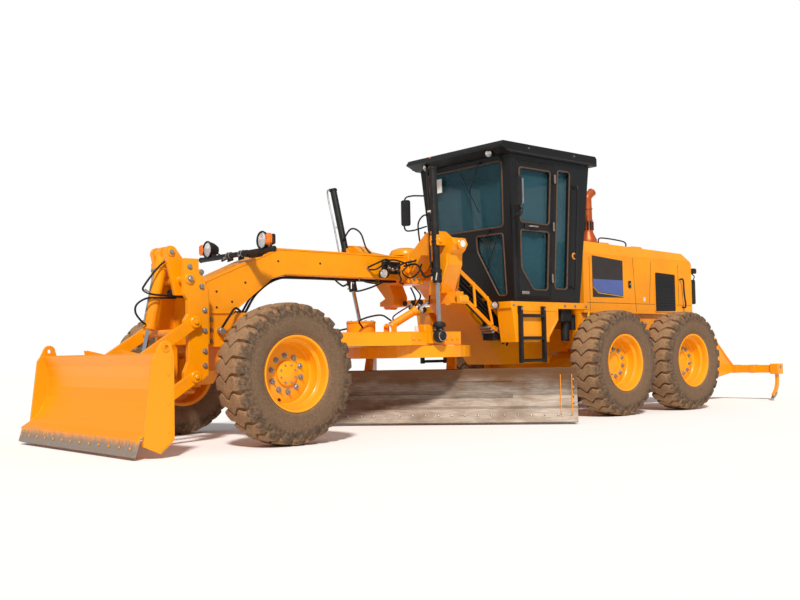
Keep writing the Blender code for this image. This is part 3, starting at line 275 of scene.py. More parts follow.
class Kit:
    """Gathers shapes into one piece, each with its own material."""

    def __init__(self, name):
        self.name = name
        self.points = []
        self.faces = []
        self.slots = []
        self.materials = []
        self.soft = []

    def add(self, points, faces, material, smooth=True, at=None):
        if material not in self.materials:
            self.materials.append(material)
        base = len(self.points)
        self.points += [(at @ Vector(p) if at else Vector(p)) for p in points]
        self.faces += [[base + i for i in face] for face in faces]
        self.slots += [self.materials.index(material)] * len(faces)
        self.soft += [smooth] * len(faces)
        return self

    def lathe(self, profile, centre, axis, material, sides=32, start=0.0):
        """A profile of (radius, height) turned about an axis through a centre."""
        points, faces, rings = [], [], []
        for radius, height in profile:
            if radius <= 0:
                rings.append([len(points)] * sides)
                points.append((0, 0, height))
                continue
            rings.append(list(range(len(points), len(points) + sides)))
            for k in range(sides):
                a = start + 2 * math.pi * k / sides
                points.append((radius * math.cos(a), radius * math.sin(a), height))
        for one, two in zip(rings, rings[1:]):
            for k in range(sides):
                m = (k + 1) % sides
                face = [one[k], one[m], two[m], two[k]]
                face = [i for j, i in enumerate(face) if i != face[j - 1]]
                if len(face) > 2:
                    faces.append(face)
        at = Matrix.Translation(Vector(centre)) @ spin_to(axis)
        return self.add(points, faces, material, True, at)

    def rod(self, start, end, radius, material, sides=16, bevel=0.15):
        """A round bar with softened ends."""
        start, end = Vector(start), Vector(end)
        length = (end - start).length
        soft = min(radius * bevel, length / 3)
        profile = [(0, 0), (radius - soft, 0), (radius, soft), (radius, length - soft),
                   (radius - soft, length), (0, length)]
        return self.lathe(profile, start, end - start, material, sides)

    def ring(self, centre, axis, radius, thick, material, sides=40, round_sides=8):
        """A torus."""
        points, faces = [], []
        for k in range(sides):
            a = 2 * math.pi * k / sides
            for m in range(round_sides):
                b = 2 * math.pi * m / round_sides
                r = radius + thick * math.cos(b)
                points.append((r * math.cos(a), r * math.sin(a), thick * math.sin(b)))
        for k in range(sides):
            for m in range(round_sides):
                n, p = (k + 1) % sides, (m + 1) % round_sides
                faces.append([k * round_sides + m, n * round_sides + m, n * round_sides + p,
                              k * round_sides + p])
        at = Matrix.Translation(Vector(centre)) @ spin_to(axis)
        return self.add(points, faces, material, True, at)

    def tube(self, path, radius, material, sides=8, closed=False):
        """A round tube along points."""
        path = [Vector(p) for p in path]
        count = len(path)
        points, faces = [], []
        before = None
        for k, p in enumerate(path):
            if closed:
                along = path[(k + 1) % count] - path[k - 1]
            else:
                along = path[min(k + 1, count - 1)] - path[max(k - 1, 0)]
            along.normalize()
            if before is None:
                side = along.orthogonal().normalized()
            else:
                side = (before - along * before.dot(along)).normalized()
            before = side
            up = along.cross(side)
            for m in range(sides):
                a = 2 * math.pi * m / sides
                points.append(p + (side * math.cos(a) + up * math.sin(a)) * radius)
        for k in range(count if closed else count - 1):
            n = (k + 1) % count
            for m in range(sides):
                q = (m + 1) % sides
                faces.append([k * sides + m, k * sides + q, n * sides + q, n * sides + m])
        if not closed:
            faces.append(list(range(sides))[::-1])
            faces.append([(count - 1) * sides + m for m in range(sides)])
        return self.add(points, faces, material)

    def hose(self, knots, radius, material, sides=8, steps=7):
        return self.tube(curve(knots, steps), radius, material, sides)

    def block(self, low, high, material, bevel=0.004, at=None):
        """A block with chamfered edges."""
        low, high = Vector(low), Vector(high)
        low, high = Vector(map(min, low, high)), Vector(map(max, low, high))
        bevel = min(bevel, *[(high[k] - low[k]) / 2.5 for k in range(3)])
        points, faces = [], []
        index = {}
        for sx in (0, 1):
            for sy in (0, 1):
                for sz in (0, 1):
                    corner = [(low, high)[s][k] for k, s in enumerate((sx, sy, sz))]
                    inward = [(1, -1)[s] for s in (sx, sy, sz)]
                    for axis in range(3):
                        p = [corner[k] + (0 if k == axis else inward[k] * bevel) for k in range(3)]
                        index[sx, sy, sz, axis] = len(points)
                        points.append(p)
        for axis in range(3):
            a, b = [k for k in range(3) if k != axis]
            for s in (0, 1):
                loop = []
                for u, v in ((0, 0), (1, 0), (1, 1), (0, 1)):
                    key = [0, 0, 0]
                    key[axis], key[a], key[b] = s, u, v
                    loop.append(index[(*key, axis)])
                faces.append(loop)
            for u in (0, 1):
                for v in (0, 1):
                    one, two = [0, 0, 0], [0, 0, 0]
                    one[axis], two[axis] = 0, 1
                    one[a] = two[a] = u
                    one[b] = two[b] = v
                    faces.append([index[(*one, a)], index[(*two, a)], index[(*two, b)], index[(*one, b)]])
        for sx in (0, 1):
            for sy in (0, 1):
                for sz in (0, 1):
                    faces.append([index[sx, sy, sz, k] for k in range(3)])
        return self.add(points, faces, material, False, at)

    def plate(self, outline, low, high, material, axis="Y", bevel=0.003, at=None):
        """An outline pulled along an axis, its two faces chamfered."""
        order = {"X": (2, 0, 1), "Y": (0, 2, 1), "Z": (0, 1, 2)}[axis]
        if low > high:
            low, high = high, low
        bevel = min(bevel, (high - low) / 3)
        inner = shrink(outline, bevel)
        count = len(outline)
        rings = ((inner, low), (outline, low + bevel), (outline, high - bevel), (inner, high))
        points = []
        for ring, height in rings:
            for p in ring:
                v = (*p, height)
                points.append([v[i] for i in order])
        faces = [list(range(count)), [3 * count + k for k in range(count)][::-1]]
        for r in range(3):
            for k in range(count):
                m = (k + 1) % count
                faces.append([r * count + k, r * count + m, (r + 1) * count + m, (r + 1) * count + k])
        return self.add(points, faces, material, False, at)

    def bolt(self, at, axis, size, material=None, washer=True):
        """A hexagon head on a washer; size is the head's width over its corners."""
        material = material or ZINC
        r = size / 2
        if washer:
            self.lathe([(r * 1.28, 0), (r * 1.28, r * 0.16), (0, r * 0.16)], at, axis, material, 14)
        turn = sum(Vector(at)) * 7.0
        self.lathe([(r, r * 0.16), (r, r * 0.72), (r * 0.82, r * 0.86), (0, r * 0.86)], at, axis, material,
                   6, turn)
        return self

    def rivet(self, at, axis, radius, material=None):
        material = material or ZINC
        profile = [(radius, 0), (radius * 0.9, radius * 0.4), (radius * 0.5, radius * 0.65),
                   (0, radius * 0.72)]
        return self.lathe(profile, at, axis, material, 10)

    def ball(self, centre, radius, material, sides=20, squash=1.0):
        profile = [(radius * math.sin(math.pi * k / 10),
                    -radius * squash * math.cos(math.pi * k / 10)) for k in range(11)]
        profile[0] = (0, profile[0][1])
        profile[-1] = (0, profile[-1][1])
        return self.lathe(profile, centre, (0, 0, 1), material, sides)

    def make(self, body, centre=None, angle=35):
        mesh = bpy.data.meshes.new(self.name)
        origin = Vector(centre) if centre else Vector((0, 0, 0))
        mesh.from_pydata([p - origin for p in self.points], [], self.faces)
        for material in self.materials:
            mesh.materials.append(material)
        mesh.polygons.foreach_set("material_index", self.slots)
        bm = bmesh.new()
        bm.from_mesh(mesh)
        bmesh.ops.recalc_face_normals(bm, faces=bm.faces)
        bm.to_mesh(mesh)
        bm.free()
        mesh.shade_smooth()
        mesh.set_sharp_from_angle(angle=math.radians(angle))
        return place(self.name, mesh, body, origin)


def place(name, mesh, body, origin=Vector((0, 0, 0))):
    made = bpy.data.objects.new(name, mesh)
    bpy.context.scene.collection.objects.link(made)
    made.location = AXLE + origin
    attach(made, body)
    return made


def shrink(outline, by):
    """An outline moved inwards along its corners' bisectors."""
    count = len(outline)
    points = [Vector(p) for p in outline]
    area = sum(points[k - 1].x * points[k].y - points[k].x * points[k - 1].y for k in range(count))
    turn = 1 if area > 0 else -1
    made = []
    for k in range(count):
        one = (points[k] - points[k - 1]).normalized()
        two = (points[(k + 1) % count] - points[k]).normalized()
        normal = Vector((-one.y - two.y, one.x + two.x)) * turn
        if normal.length < 1e-6:
            normal = Vector((-one.y, one.x)) * turn
        normal.normalize()
        made.append(tuple(points[k] + normal * by))
    return made


def curve(knots, steps=7):
    """A smooth line through knots."""
    k = [Vector(p) for p in knots]
    k = [k[0] * 2 - k[1]] + k + [k[-1] * 2 - k[-2]]
    made = []
    for i in range(1, len(k) - 2):
        for s in range(steps):
            t = s / steps
            made.append(0.5 * (k[i] * 2 + (k[i + 1] - k[i - 1]) * t
                               + (k[i - 1] * 2 - k[i] * 5 + k[i + 1] * 4 - k[i + 2]) * t * t
                               + (k[i] * 3 - k[i - 1] - k[i + 1] * 3 + k[i + 2]) * t ** 3))
    made.append(k[-2])
    return made


def arc(centre, radius, start, end, steps):
    return [(centre[0] + radius * math.cos(math.radians(start + (end - start) * s / steps)),
             centre[1] + radius * math.sin(math.radians(start + (end - start) * s / steps)))
            for s in range(steps + 1)]


def rounded(outline, radius, steps=5):
    made = []
    count = len(outline)
    for index in range(count):
        here = Vector(outline[index])
        before = (Vector(outline[index - 1]) - here).normalized()
        after = (Vector(outline[(index + 1) % count]) - here).normalized()
        for step in range(steps + 1):
            share = step / steps
            bend = before * (1 - share) ** 2 + after * share ** 2
            made.append(tuple(here + bend * radius))
    return made


# ---------------------------------------------------------------- wheels
LUGS = 26
LUG_WALL = 0.035               # of a pitch, where a lug's side slopes
LUG_SHARES = (0.12, 0.5, 0.88)  # points across a lug's face
END_GAP = 0.47                 # of a pitch between lugs at the shoulder
RADIUS = 0.673
# across (from the middle), radius of the lug's face, radius of the groove's floor
TREAD = [(0.0, 0.673, 0.64), (0.035, 0.6728, 0.64), (0.07, 0.672, 0.639), (0.1, 0.6705, 0.637),
         (0.125, 0.6685, 0.633), (0.15, 0.665, 0.626), (0.172, 0.66, 0.614), (0.19, 0.651, 0.6),
         (0.2, 0.637, 0.588), (0.206, 0.618, 0.578), (0.21, 0.598, 0.571), (0.2115, 0.58, 0.566),
         (0.2125, 0.568, 0.5625)]
SIDEWALL = [(0.215, 0.55), (0.2195, 0.525), (0.2215, 0.498), (0.2215, 0.47), (0.2185, 0.445),
            (0.213, 0.424), (0.2115, 0.414), (0.206, 0.402), (0.197, 0.385), (0.188, 0.37), (0.18, 0.362),
            (0.165, 0.35)]


def lug_line(t):
    """How far a lug leads or trails, in pitches, across the tread: a V in the middle, drooping ends."""
    a = abs(t)
    if a < 0.42:
        return -0.5 * (1 - a / 0.42)
    return -0.36 * (a - 0.42) / 0.58


def tyre_mesh(name, seed):
    columns = [(-y, top, low) for y, top, low in reversed(TREAD[1:])] + list(TREAD)
    widest = TREAD[-1][0]
    pitch = 2 * math.pi / LUGS
    nicks = np.random.default_rng(seed)
    points, rings = [], []
    for y, top, low in columns:
        t = y / widest
        gap = 0.17 + 0.3 * max(0.0, abs(t) - 0.45) / 0.55
        wall = LUG_WALL
        steps = [(0.0, 1), (wall, 0), (gap / 2, 0), (gap - wall, 0), (gap, 1)]
        steps += [(gap + (1 - gap) * s, 1) for s in LUG_SHARES]
        ring = []
        for lug in range(LUGS):
            for share, raised in steps:
                angle = (lug + share + lug_line(t)) * pitch
                radius = top if raised else low
                edge = raised and (share in (0.0, gap))
                radius -= 0.003 if edge else 0.0
                radius += nicks.normal(0, 0.0016 if abs(t) > 0.7 else 0.0009) - (0.0016 if raised else 0)
                radius = min(radius, RADIUS)
                shift = nicks.normal(0, 0.0012)
                ring.append(len(points))
                points.append((radius * math.cos(angle), y + shift, radius * math.sin(angle)))
        rings.append(ring)
    count = len(rings[0])
    for side, first in ((-1, True), (1, False)):
        made = []
        trail = lug_line(1.0) * pitch
        for y, radius in SIDEWALL:
            ring = []
            for k in range(count):
                lug, step = divmod(k, 8)
                gap = END_GAP
                shares = [0, LUG_WALL, gap / 2, gap - LUG_WALL, gap]
                shares += [gap + (1 - gap) * s for s in LUG_SHARES]
                share = shares[step]
                angle = (lug + share) * pitch + trail
                ring.append(len(points))
                points.append((radius * math.cos(angle), side * y, radius * math.sin(angle)))
            made.append(ring)
        rings = made[::-1] + rings if first else rings + made
    faces = []
    for one, two in zip(rings, rings[1:]):
        for k in range(count):
            m = (k + 1) % count
            faces.append([one[k], one[m], two[m], two[k]])
    for k in range(count):
        m = (k + 1) % count
        faces.append([rings[-1][k], rings[-1][m], rings[0][m], rings[0][k]])
    mesh = bpy.data.meshes.new(name)
    mesh.from_pydata(points, [], faces)
    mesh.materials.append(MUD_TYRE)
    bm = bmesh.new()
    bm.from_mesh(mesh)
    bmesh.ops.recalc_face_normals(bm, faces=bm.faces)
    bm.to_mesh(mesh)
    bm.free()
    mesh.shade_smooth()
    mesh.set_sharp_from_angle(angle=math.radians(38))
    return mesh


def rim_piece(name, body, centre, side, front):
    kit = Kit(name)
    out = (0, side, 0)
    barrel = [(0.3455, 0.15), (0.35, 0.165), (0.361, 0.178), (0.362, 0.192), (0.354, 0.193),
              (0.341, 0.186), (0.336, 0.172), (0.33, 0.15), (0.326, 0.12), (0.305, 0.108), (0.298, 0.1),
              (0.296, 0.01), (0.29, 0.0), (0.28, -0.01)]
    disc = [(0.28, -0.01), (0.26, -0.006), (0.2, 0.004), (0.13, 0.006)]
    if front:
        disc += [(0.12, 0.008), (0.116, 0.03), (0.1, 0.04), (0.0, 0.042)]
    else:
        disc += [(0.12, 0.002), (0.118, -0.012), (0.0, -0.012)]
    kit.lathe(barrel + disc, centre, out, RIM, 72)
    back = [(0.3455, 0.15), (0.3455, -0.15), (0.361, -0.178), (0.362, -0.192), (0.33, -0.186),
            (0.32, -0.03), (0.0, -0.035)]
    kit.lathe(back, centre, out, RIM, 72)
    for radius, height in ((0.348, 0.176), (0.3095, 0.1105)):
        kit.ring(Vector(centre) + Vector((0, side * height, 0)), out, radius, 0.0035, RIM, 72, 6)
    bolts = 10
    for k in range(bolts):
        a = 2 * math.pi * (k + 0.35) / bolts
        spot = Vector(centre) + Vector((0.172 * math.cos(a), side * 0.004, 0.172 * math.sin(a)))
        kit.bolt(spot, out, 0.046)
        kit.lathe([(0.008, 0.0), (0.008, 0.045), (0, 0.047)], spot, out, ZINC, 10)
    if front:
        for k in range(8):
            a = 2 * math.pi * (k + 0.5) / 8
            spot = Vector(centre) + Vector((0.088 * math.cos(a), side * 0.04, 0.088 * math.sin(a)))
            kit.bolt(spot, out, 0.022, washer=False)
    a = math.radians(-72)
    spot = Vector(centre) + Vector((0.255 * math.cos(a), side * -0.004, 0.255 * math.sin(a)))
    kit.lathe([(0.014, 0.0), (0.014, 0.006), (0, 0.006)], spot, out, SATIN, 12)
    bend = [spot, spot + Vector((0.004, side * 0.03, -0.002)), spot + Vector((0.02, side * 0.05, -0.006)),
            spot + Vector((0.05, side * 0.055, 0.004))]
    kit.hose(bend, 0.005, SATIN, 8)
    return kit.make(body, centre)


def wheels():
    for row in ("front", "mid", "rear"):
        for word, side in (("left", 1), ("right", -1)):
            body = f"{row}_{word}_wheel"
            node = f"{row}_{word}_tyre"
            centre = middle(node) - AXLE
            mesh = tyre_mesh(node + "_tread", seed=hash_of(node))
            tyre = place(node + "_tread", mesh, body, centre)
            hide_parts(node)
            rim = rim_piece(f"{row}_{word}_wheel_disc", body, centre, side, row == "front")
            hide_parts(f"{row}_{word}_rim")


def hash_of(word):
    return sum((k + 1) * ord(c) for k, c in enumerate(word)) % 9973


# ---------------------------------------------------------------- CAD nodes keep their shape
def finish_node(node, material, bevel=0.004, angle=32):
    made = NODES[node]
    made.data.materials.clear()
    made.data.materials.append(material)
    made.data.polygons.foreach_set("material_index", [0] * len(made.data.polygons))
    if bevel:
        weld = made.modifiers.new("weld", "WELD")
        weld.merge_threshold = 0.00005
        soften = made.modifiers.new("bevel", "BEVEL")
        soften.width = bevel
        soften.segments = 2
        soften.limit_method = "ANGLE"
        soften.angle_limit = math.radians(angle)
        soften.harden_normals = True
    return made


def cad_looks():
    orange = ["main_frame", "blade_lift_yoke", "front_axle", "cab_platform", "drawbar", "circle",
              "dozer_mount", "dozer_push_arms", "dozer_upper_links", "dozer_cylinder", "rear_frame",
              "hood", "rear_axle", "ripper", "ripper_cylinder", "centre_shift_cylinder"]
    for word in ("left", "right"):
        orange += [f"front_{word}_lean_yoke", f"front_{word}_spindle"]
        finish_node(f"lift_cylinder_{word}", SATIN, 0.002)
        finish_node(f"lift_rod_{word}", CHROME, 0.002)
        finish_node(f"ladder_{word}", SATIN)
        finish_node(f"door_{word}", BLACK, 0.003)
        finish_node(f"door_{word}_glass", GLASS, 0)
        finish_node(f"quarter_glass_{word}", GLASS, 0)
    for node in orange:
        finish_node(node, ORANGE)
    for node in ("cab_shell", "cab_roof"):
        finish_node(node, BLACK)
    for node in ("front_glass", "rear_glass"):
        finish_node(node, GLASS, 0)
    for node in ("dozer_rod", "centre_shift_rod", "ripper_rod"):
        finish_node(node, CHROME, 0.002)
    finish_node("dozer_blade", DOZER)
    finish_node("moldboard", BLADE, 0.002)
    finish_node("engine_block", SATIN)
    finish_node("exhaust_stack", HEAT)
    finish_node("headlight_bar", SATIN)
    finish_node("operator_seat", SEAT)
    finish_node("steering_console", PLASTIC)


# ---------------------------------------------------------------- sizes of the frame that the trim follows
BEAM_FACE = 0.1605             # just clear of the beam's side
CRANK_FRONT = -2.365           # front of the lift yoke's cranks
HOOD_HALF = 0.5
ROOF_EAVES = 3.262
DECK_EDGE = 0.851              # just clear of the deck's side
TANDEM_FACE = 0.8
ARM_FACE = 0.392               # outer face of the front blade's arms
MOUNT_FACE = 0.336             # outer face of its mount's plates
LOWER_PIN = (0.572, 0.654)
UPPER_PIN = (0.572, 1.18)
LINK_RUN = (0.555, -0.352)     # from a rear pin to the front one
BLADE_TOP_PIN = (0.7, 0, 1.87)
LEAN_Y = 0.6


# ---------------------------------------------------------------- front end
def bolts_on(kit, spots, axis, size, material=None):
    for spot in spots:
        kit.bolt(spot, axis, size, material)


def lamp(kit, centre, axis, radius, depth, housing, lens=None):
    """Round work lamp: bowl behind, bezel, reflector and a domed lens."""
    axis = Vector(axis).normalized()
    back = Vector(centre) - axis * depth
    kit.lathe([(0, 0), (radius * 0.55, 0.004), (radius * 0.86, depth * 0.4), (radius, depth * 0.8),
               (radius * 1.04, depth * 0.84), (radius * 1.04, depth), (radius * 0.92, depth),
               (radius * 0.9, depth * 0.92)], back, axis, housing, 28)
    kit.lathe([(radius * 0.9, depth * 0.92), (radius * 0.5, depth * 0.78), (0, depth * 0.72)], back, axis,
              MIRROR, 24)
    kit.lathe([(radius * 0.9, depth * 0.93), (radius * 0.6, depth * 1.02), (0, depth * 1.05)], back, axis,
              lens or LENS, 24)


def headlights():
    kit = Kit("headlights")
    x, z = -0.13, 1.9
    kit.rod((x, -0.71, z), (x, 0.71, z), 0.028, SATIN)
    for side in (1, -1):
        kit.rod((x, side * 0.7, z), (x, side * 0.712, z), 0.031, SATIN)
        kit.plate([(x - 0.03, 1.85), (x + 0.03, 1.83), (x + 0.03, z), (x - 0.03, z)], side * 0.09,
                  side * 0.12, SATIN)
        kit.block((x - 0.02, side * 0.515, z), (x + 0.02, side * 0.545, 1.93), SATIN)
        lamp(kit, (x + 0.03, side * 0.53, 2.0), (1, 0, 0.02), 0.086, 0.125, PLASTIC)
        kit.ring((x + 0.027, side * 0.53, 2.0), (1, 0, 0.02), 0.087, 0.008, PLASTIC, 32)
        kit.block((x - 0.045, side * 0.612, 1.95), (x - 0.005, side * 0.68, 2.055), PLASTIC, 0.012)
        kit.block((x - 0.01, side * 0.608, 1.945), (x + 0.05, side * 0.684, 2.06), AMBER, 0.018)
        kit.rod((x, side * 0.62, z), (x, side * 0.62, 1.96), 0.01, ZINC)
        kit.hose([(x - 0.07, side * 0.53, 1.98), (x - 0.13, side * 0.47, 1.92),
                  (x - 0.05, side * 0.36, 1.865), (x - 0.03, side * 0.22, 1.875),
                  (x - 0.06, side * 0.17, 1.86)], 0.008, RUBBER)
        lean = Vector((0.906, 0, -0.423))
        for y in (0.095, 0.145):
            kit.ring((x, side * y, z), (0, 1, 0), 0.033, 0.006, ZINC, 20, 6)
        kit.bolt(Vector((x + 0.02, side * 0.145, 1.885)) + lean * 0.03, (0.42, 0, 0.9), 0.03)
    kit.block((x - 0.09, 0.17, 1.86), (x + 0.03, 0.24, 1.93), PLASTIC, 0.01)
    kit.rod((x - 0.03, 0.25, 1.885), (x - 0.03, 0.42, 1.885), 0.04, PLASTIC, 20)
    made = kit.make("root")
    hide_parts("headlight_bar")


def nose():
    kit = Kit("nose_fittings")
    for side in (1, -1):
        y = side * BEAM_FACE
        for x, z in ((0.02, 1.4), (0.2, 1.34), (0.2, 1.5), (-0.55, 1.84), (-1.1, 1.84), (-0.14, 1.6)):
            kit.rivet((x, y, z), (0, side, 0), 0.012, SATIN)
        kit.block((0.325, side * 0.155, 1.33), (0.372, side * 0.166, 1.52), SATIN, 0.01)
        kit.lathe([(0.026, 0), (0.026, 0.006), (0.015, 0.008), (0, 0.008)], (0.345, y, 1.56), (0, side, 0),
                  SATIN, 20)
        weld = [(-2.4, y, 1.965), (-0.56, y, 1.965), (-0.17, y, 1.8), (0.34, y, 1.585)]
        kit.tube(weld, 0.006, ORANGE, 6)
        kit.tube([(-2.4, y, 1.712), (-0.66, y, 1.712), (-0.48, y, 1.665), (0.02, y, 1.285),
                  (0.33, y, 1.285)], 0.006, ORANGE, 6)
    kit.block((-0.18, -0.1, 1.295), (0.3, 0.1, 1.31), SATIN)
    for k, y in enumerate((-0.03, 0.03)):
        kit.hose([(-0.02, y, 1.27), (-0.06, y * 1.3, 1.18 - 0.02 * k), (-0.2, y * 1.2, 1.28),
                  (-0.36, y, 1.5), (-0.62, y, 1.66), (-1.0, y, 1.688), (-2.3, y, 1.688)], 0.013, RUBBER)
    for side in (1, -1):
        kit.rod((0.16, side * 0.12, 1.1), (0.16, side * 0.21, 1.1), 0.035, ZINC, 20)
        kit.hose([(0.16, side * 0.19, 1.13), (0.12, side * 0.26, 1.24), (0.02, side * 0.22, 1.33),
                  (-0.1, side * 0.14, 1.3)], 0.012, RUBBER)
        bolts_on(kit, [(0.255, side * 0.152, z) for z in (1.0, 1.11, 1.22)], (0, side, 0), 0.034)
        bolts_on(kit, [(-0.09, side * 0.152, z) for z in (1.0, 1.11, 1.22)], (0, side, 0), 0.034)
    kit.make("root")
    axle = Kit("axle_fittings")
    for side in (1, -1):
        axle.rod((-0.125, side * LEAN_Y, 0.64), (0.125, side * LEAN_Y, 0.64), 0.045, ZINC, 24)
        axle.lathe([(0.062, 0), (0.062, 0.012), (0, 0.014)], (0.1, side * LEAN_Y, 0.64), (1, 0, 0), SATIN,
                   20)
    axle.rod((-0.16, -0.42, 0.8), (-0.16, 0.42, 0.8), 0.022, ORANGE)
    axle.rod((-0.16, -0.12, 0.8), (-0.16, 0.24, 0.8), 0.036, ORANGE)
    for side in (1, -1):
        axle.block((-0.19, side * 0.38, 0.76), (-0.09, side * 0.45, 0.84), ORANGE, 0.01)
    axle.hose([(-0.16, 0.1, 0.84), (-0.18, 0.1, 0.95), (-0.13, 0.05, 1.02)], 0.011, RUBBER)
    axle.make("root")




def front_blade_mount():
    kit = Kit("front_blade_mount_fittings")
    for side in (1, -1):
        y = side * MOUNT_FACE
        corner = [(0.645, 1.58), (0.645, 1.47), (0.605, 1.42), (0.605, 0.79)]
        bolts_on(kit, [(0.47, y, 1.67), (0.47, y, 1.53), (0.44, y, 1.3), (0.44, y, 1.1), (0.44, y, 0.9),
                       (0.44, y, 0.76), (0.6, y, 1.72)], (0, side, 0), 0.044)
        for x, z in (UPPER_PIN, LOWER_PIN):
            kit.lathe([(0.062, -0.002), (0.062, 0.003), (0, 0.004)], (x, y, z), (0, side, 0), ORANGE, 24)
        kit.tube([(x, y, z) for x, z in corner], 0.004, ORANGE, 6)
        # top corner block, boss and keeper
        kit.rod((0.6, side * 0.27, 1.6), (0.6, side * 0.352, 1.6), 0.055, ORANGE, 24)
        kit.bolt((0.6, side * 0.352, 1.6), (0, side, 0), 0.05)
        kit.rod((0.7, side * 0.1, 1.87), (0.7, side * 0.172, 1.87), 0.042, ORANGE, 24)
        kit.bolt((0.7, side * 0.172, 1.87), (0, side, 0), 0.04)
    kit.rod((0.7, -0.11, 1.87), (0.7, 0.11, 1.87), 0.03, ZINC, 20)
    # oil lines that loop ahead of the lift cylinder
    kit.hose([(0.62, 0.08, 1.8), (0.72, 0.09, 1.79), (0.82, 0.08, 1.7), (0.93, 0.07, 1.56),
              (0.95, 0.06, 1.5), (0.88, 0.09, 1.46), (0.74, 0.1, 1.45), (0.6, 0.09, 1.45)], 0.01, RUBBER,
             10)
    kit.rod((0.94, 0.065, 1.5), (0.9, 0.08, 1.47), 0.016, ZINC, 12)
    kit.hose([(0.6, 0.05, 1.43), (0.76, 0.1, 1.425), (0.92, 0.09, 1.42), (1.02, 0.07, 1.36),
              (1.03, 0.06, 1.28), (0.97, 0.06, 1.2), (0.92, 0.05, 1.17)], 0.01, RUBBER, 10)
    kit.block((0.43, -0.12, 1.44), (0.6, 0.12, 1.52), SATIN, 0.008)
    kit.make("root")

    cylinder = Kit("front_blade_cylinder_fittings")
    top, end = Vector(BLADE_TOP_PIN), Vector((0.9993, 0, 0.475))
    along = (end - top).normalized()
    for share, radius, length in ((0.5, 0.066, 0.06), (0.1, 0.066, 0.03)):
        cylinder.rod(top.lerp(end, share), top.lerp(end, share) + along * length, radius, ORANGE, 28)
    cylinder.lathe([(0.062, -0.05), (0.062, 0.05), (0, 0.052)], top, (0, 1, 0), ORANGE, 24)
    cylinder.rod(top.lerp(end, 0.12) + Vector((0.066, 0, 0)), top.lerp(end, 0.5) + Vector((0.066, 0, 0)),
                 0.009, ZINC)
    for share in (0.13, 0.5):
        spot = top.lerp(end, share)
        cylinder.rod(spot + Vector((0.04, 0, 0)), spot + Vector((0.09, 0, 0.01)), 0.017, ZINC, 12)
    cylinder.make("dozer_cylinder")

    for name, body, (rear, z) in (("push_arm_pins", "dozer_push_arms", LOWER_PIN),
                                  ("upper_link_pins", "dozer_upper_links", UPPER_PIN)):
        arms = Kit(name)
        for side in (1, -1):
            for x, height in ((rear, z), (rear + LINK_RUN[0], z + LINK_RUN[1])):
                arms.lathe([(0.058, 0), (0.058, 0.012), (0.05, 0.018), (0, 0.018)],
                           (x, side * ARM_FACE, height), (0, side, 0), ORANGE, 24)
                arms.bolt((x, side * 0.41, height), (0, side, 0), 0.044, ORANGE)
                arms.rivet((x + 0.028, side * ARM_FACE, height - 0.036), (0, side, 0), 0.006, BRASS)
        arms.make(body)


def front_blade():
    kit = Kit("front_blade_fittings")
    for k in range(13):
        y = -1.19 + 2.38 * k / 12
        spot = Vector((1.648, y, 0.1))
        kit.rivet(spot, (1, 0, 0.28), 0.012, DOZER)
        kit.bolt((1.6, y, 0.1), (-1, 0, -0.28), 0.034)
    for side in (1, -1):
        y = side * 1.25
        for z in (0.22, 0.46, 0.7):
            kit.rivet((1.325, side * 1.2505, z), (0, side, 0), 0.012, ORANGE)
        kit.lathe([(0.034, 0), (0.034, 0.01), (0.024, 0.01)], (1.35, side * 1.2505, 0.93), (0, side, 0),
                  ORANGE, 24)
        kit.tube([(1.29, y * 1.001, 0.86), (1.29, y * 1.001, 0.16), (1.4, y * 1.001, 0.06)], 0.005, ORANGE,
                 6)
        # sockets for the push arms and links, welded to the blade's back
        for z in (0.302, 0.828):
            for lateral in (0.334, 0.4):
                low, high = sorted((side * lateral - 0.004, side * lateral + 0.004))
                outline = [(1.3, z - 0.11), (1.3 if z < 0.5 else 1.345, z + 0.1), (1.15, z + 0.055)]
                outline += arc((1.127, z), 0.058, 70, 280, 6)
                kit.plate(outline, low, high, ORANGE)
    for y in (-0.85, -0.15, 0.15, 0.85):
        kit.plate([(1.345, 0.2), (1.27, 0.26), (1.235, 0.5), (1.27, 0.84), (1.375, 0.84), (1.335, 0.72),
                   (1.315, 0.5), (1.335, 0.3)], y - 0.008, y + 0.008, ORANGE)
    kit.block((1.285, -1.215, 0.845), (1.375, 1.215, 0.875), ORANGE, 0.006)
    kit.make("dozer_blade")


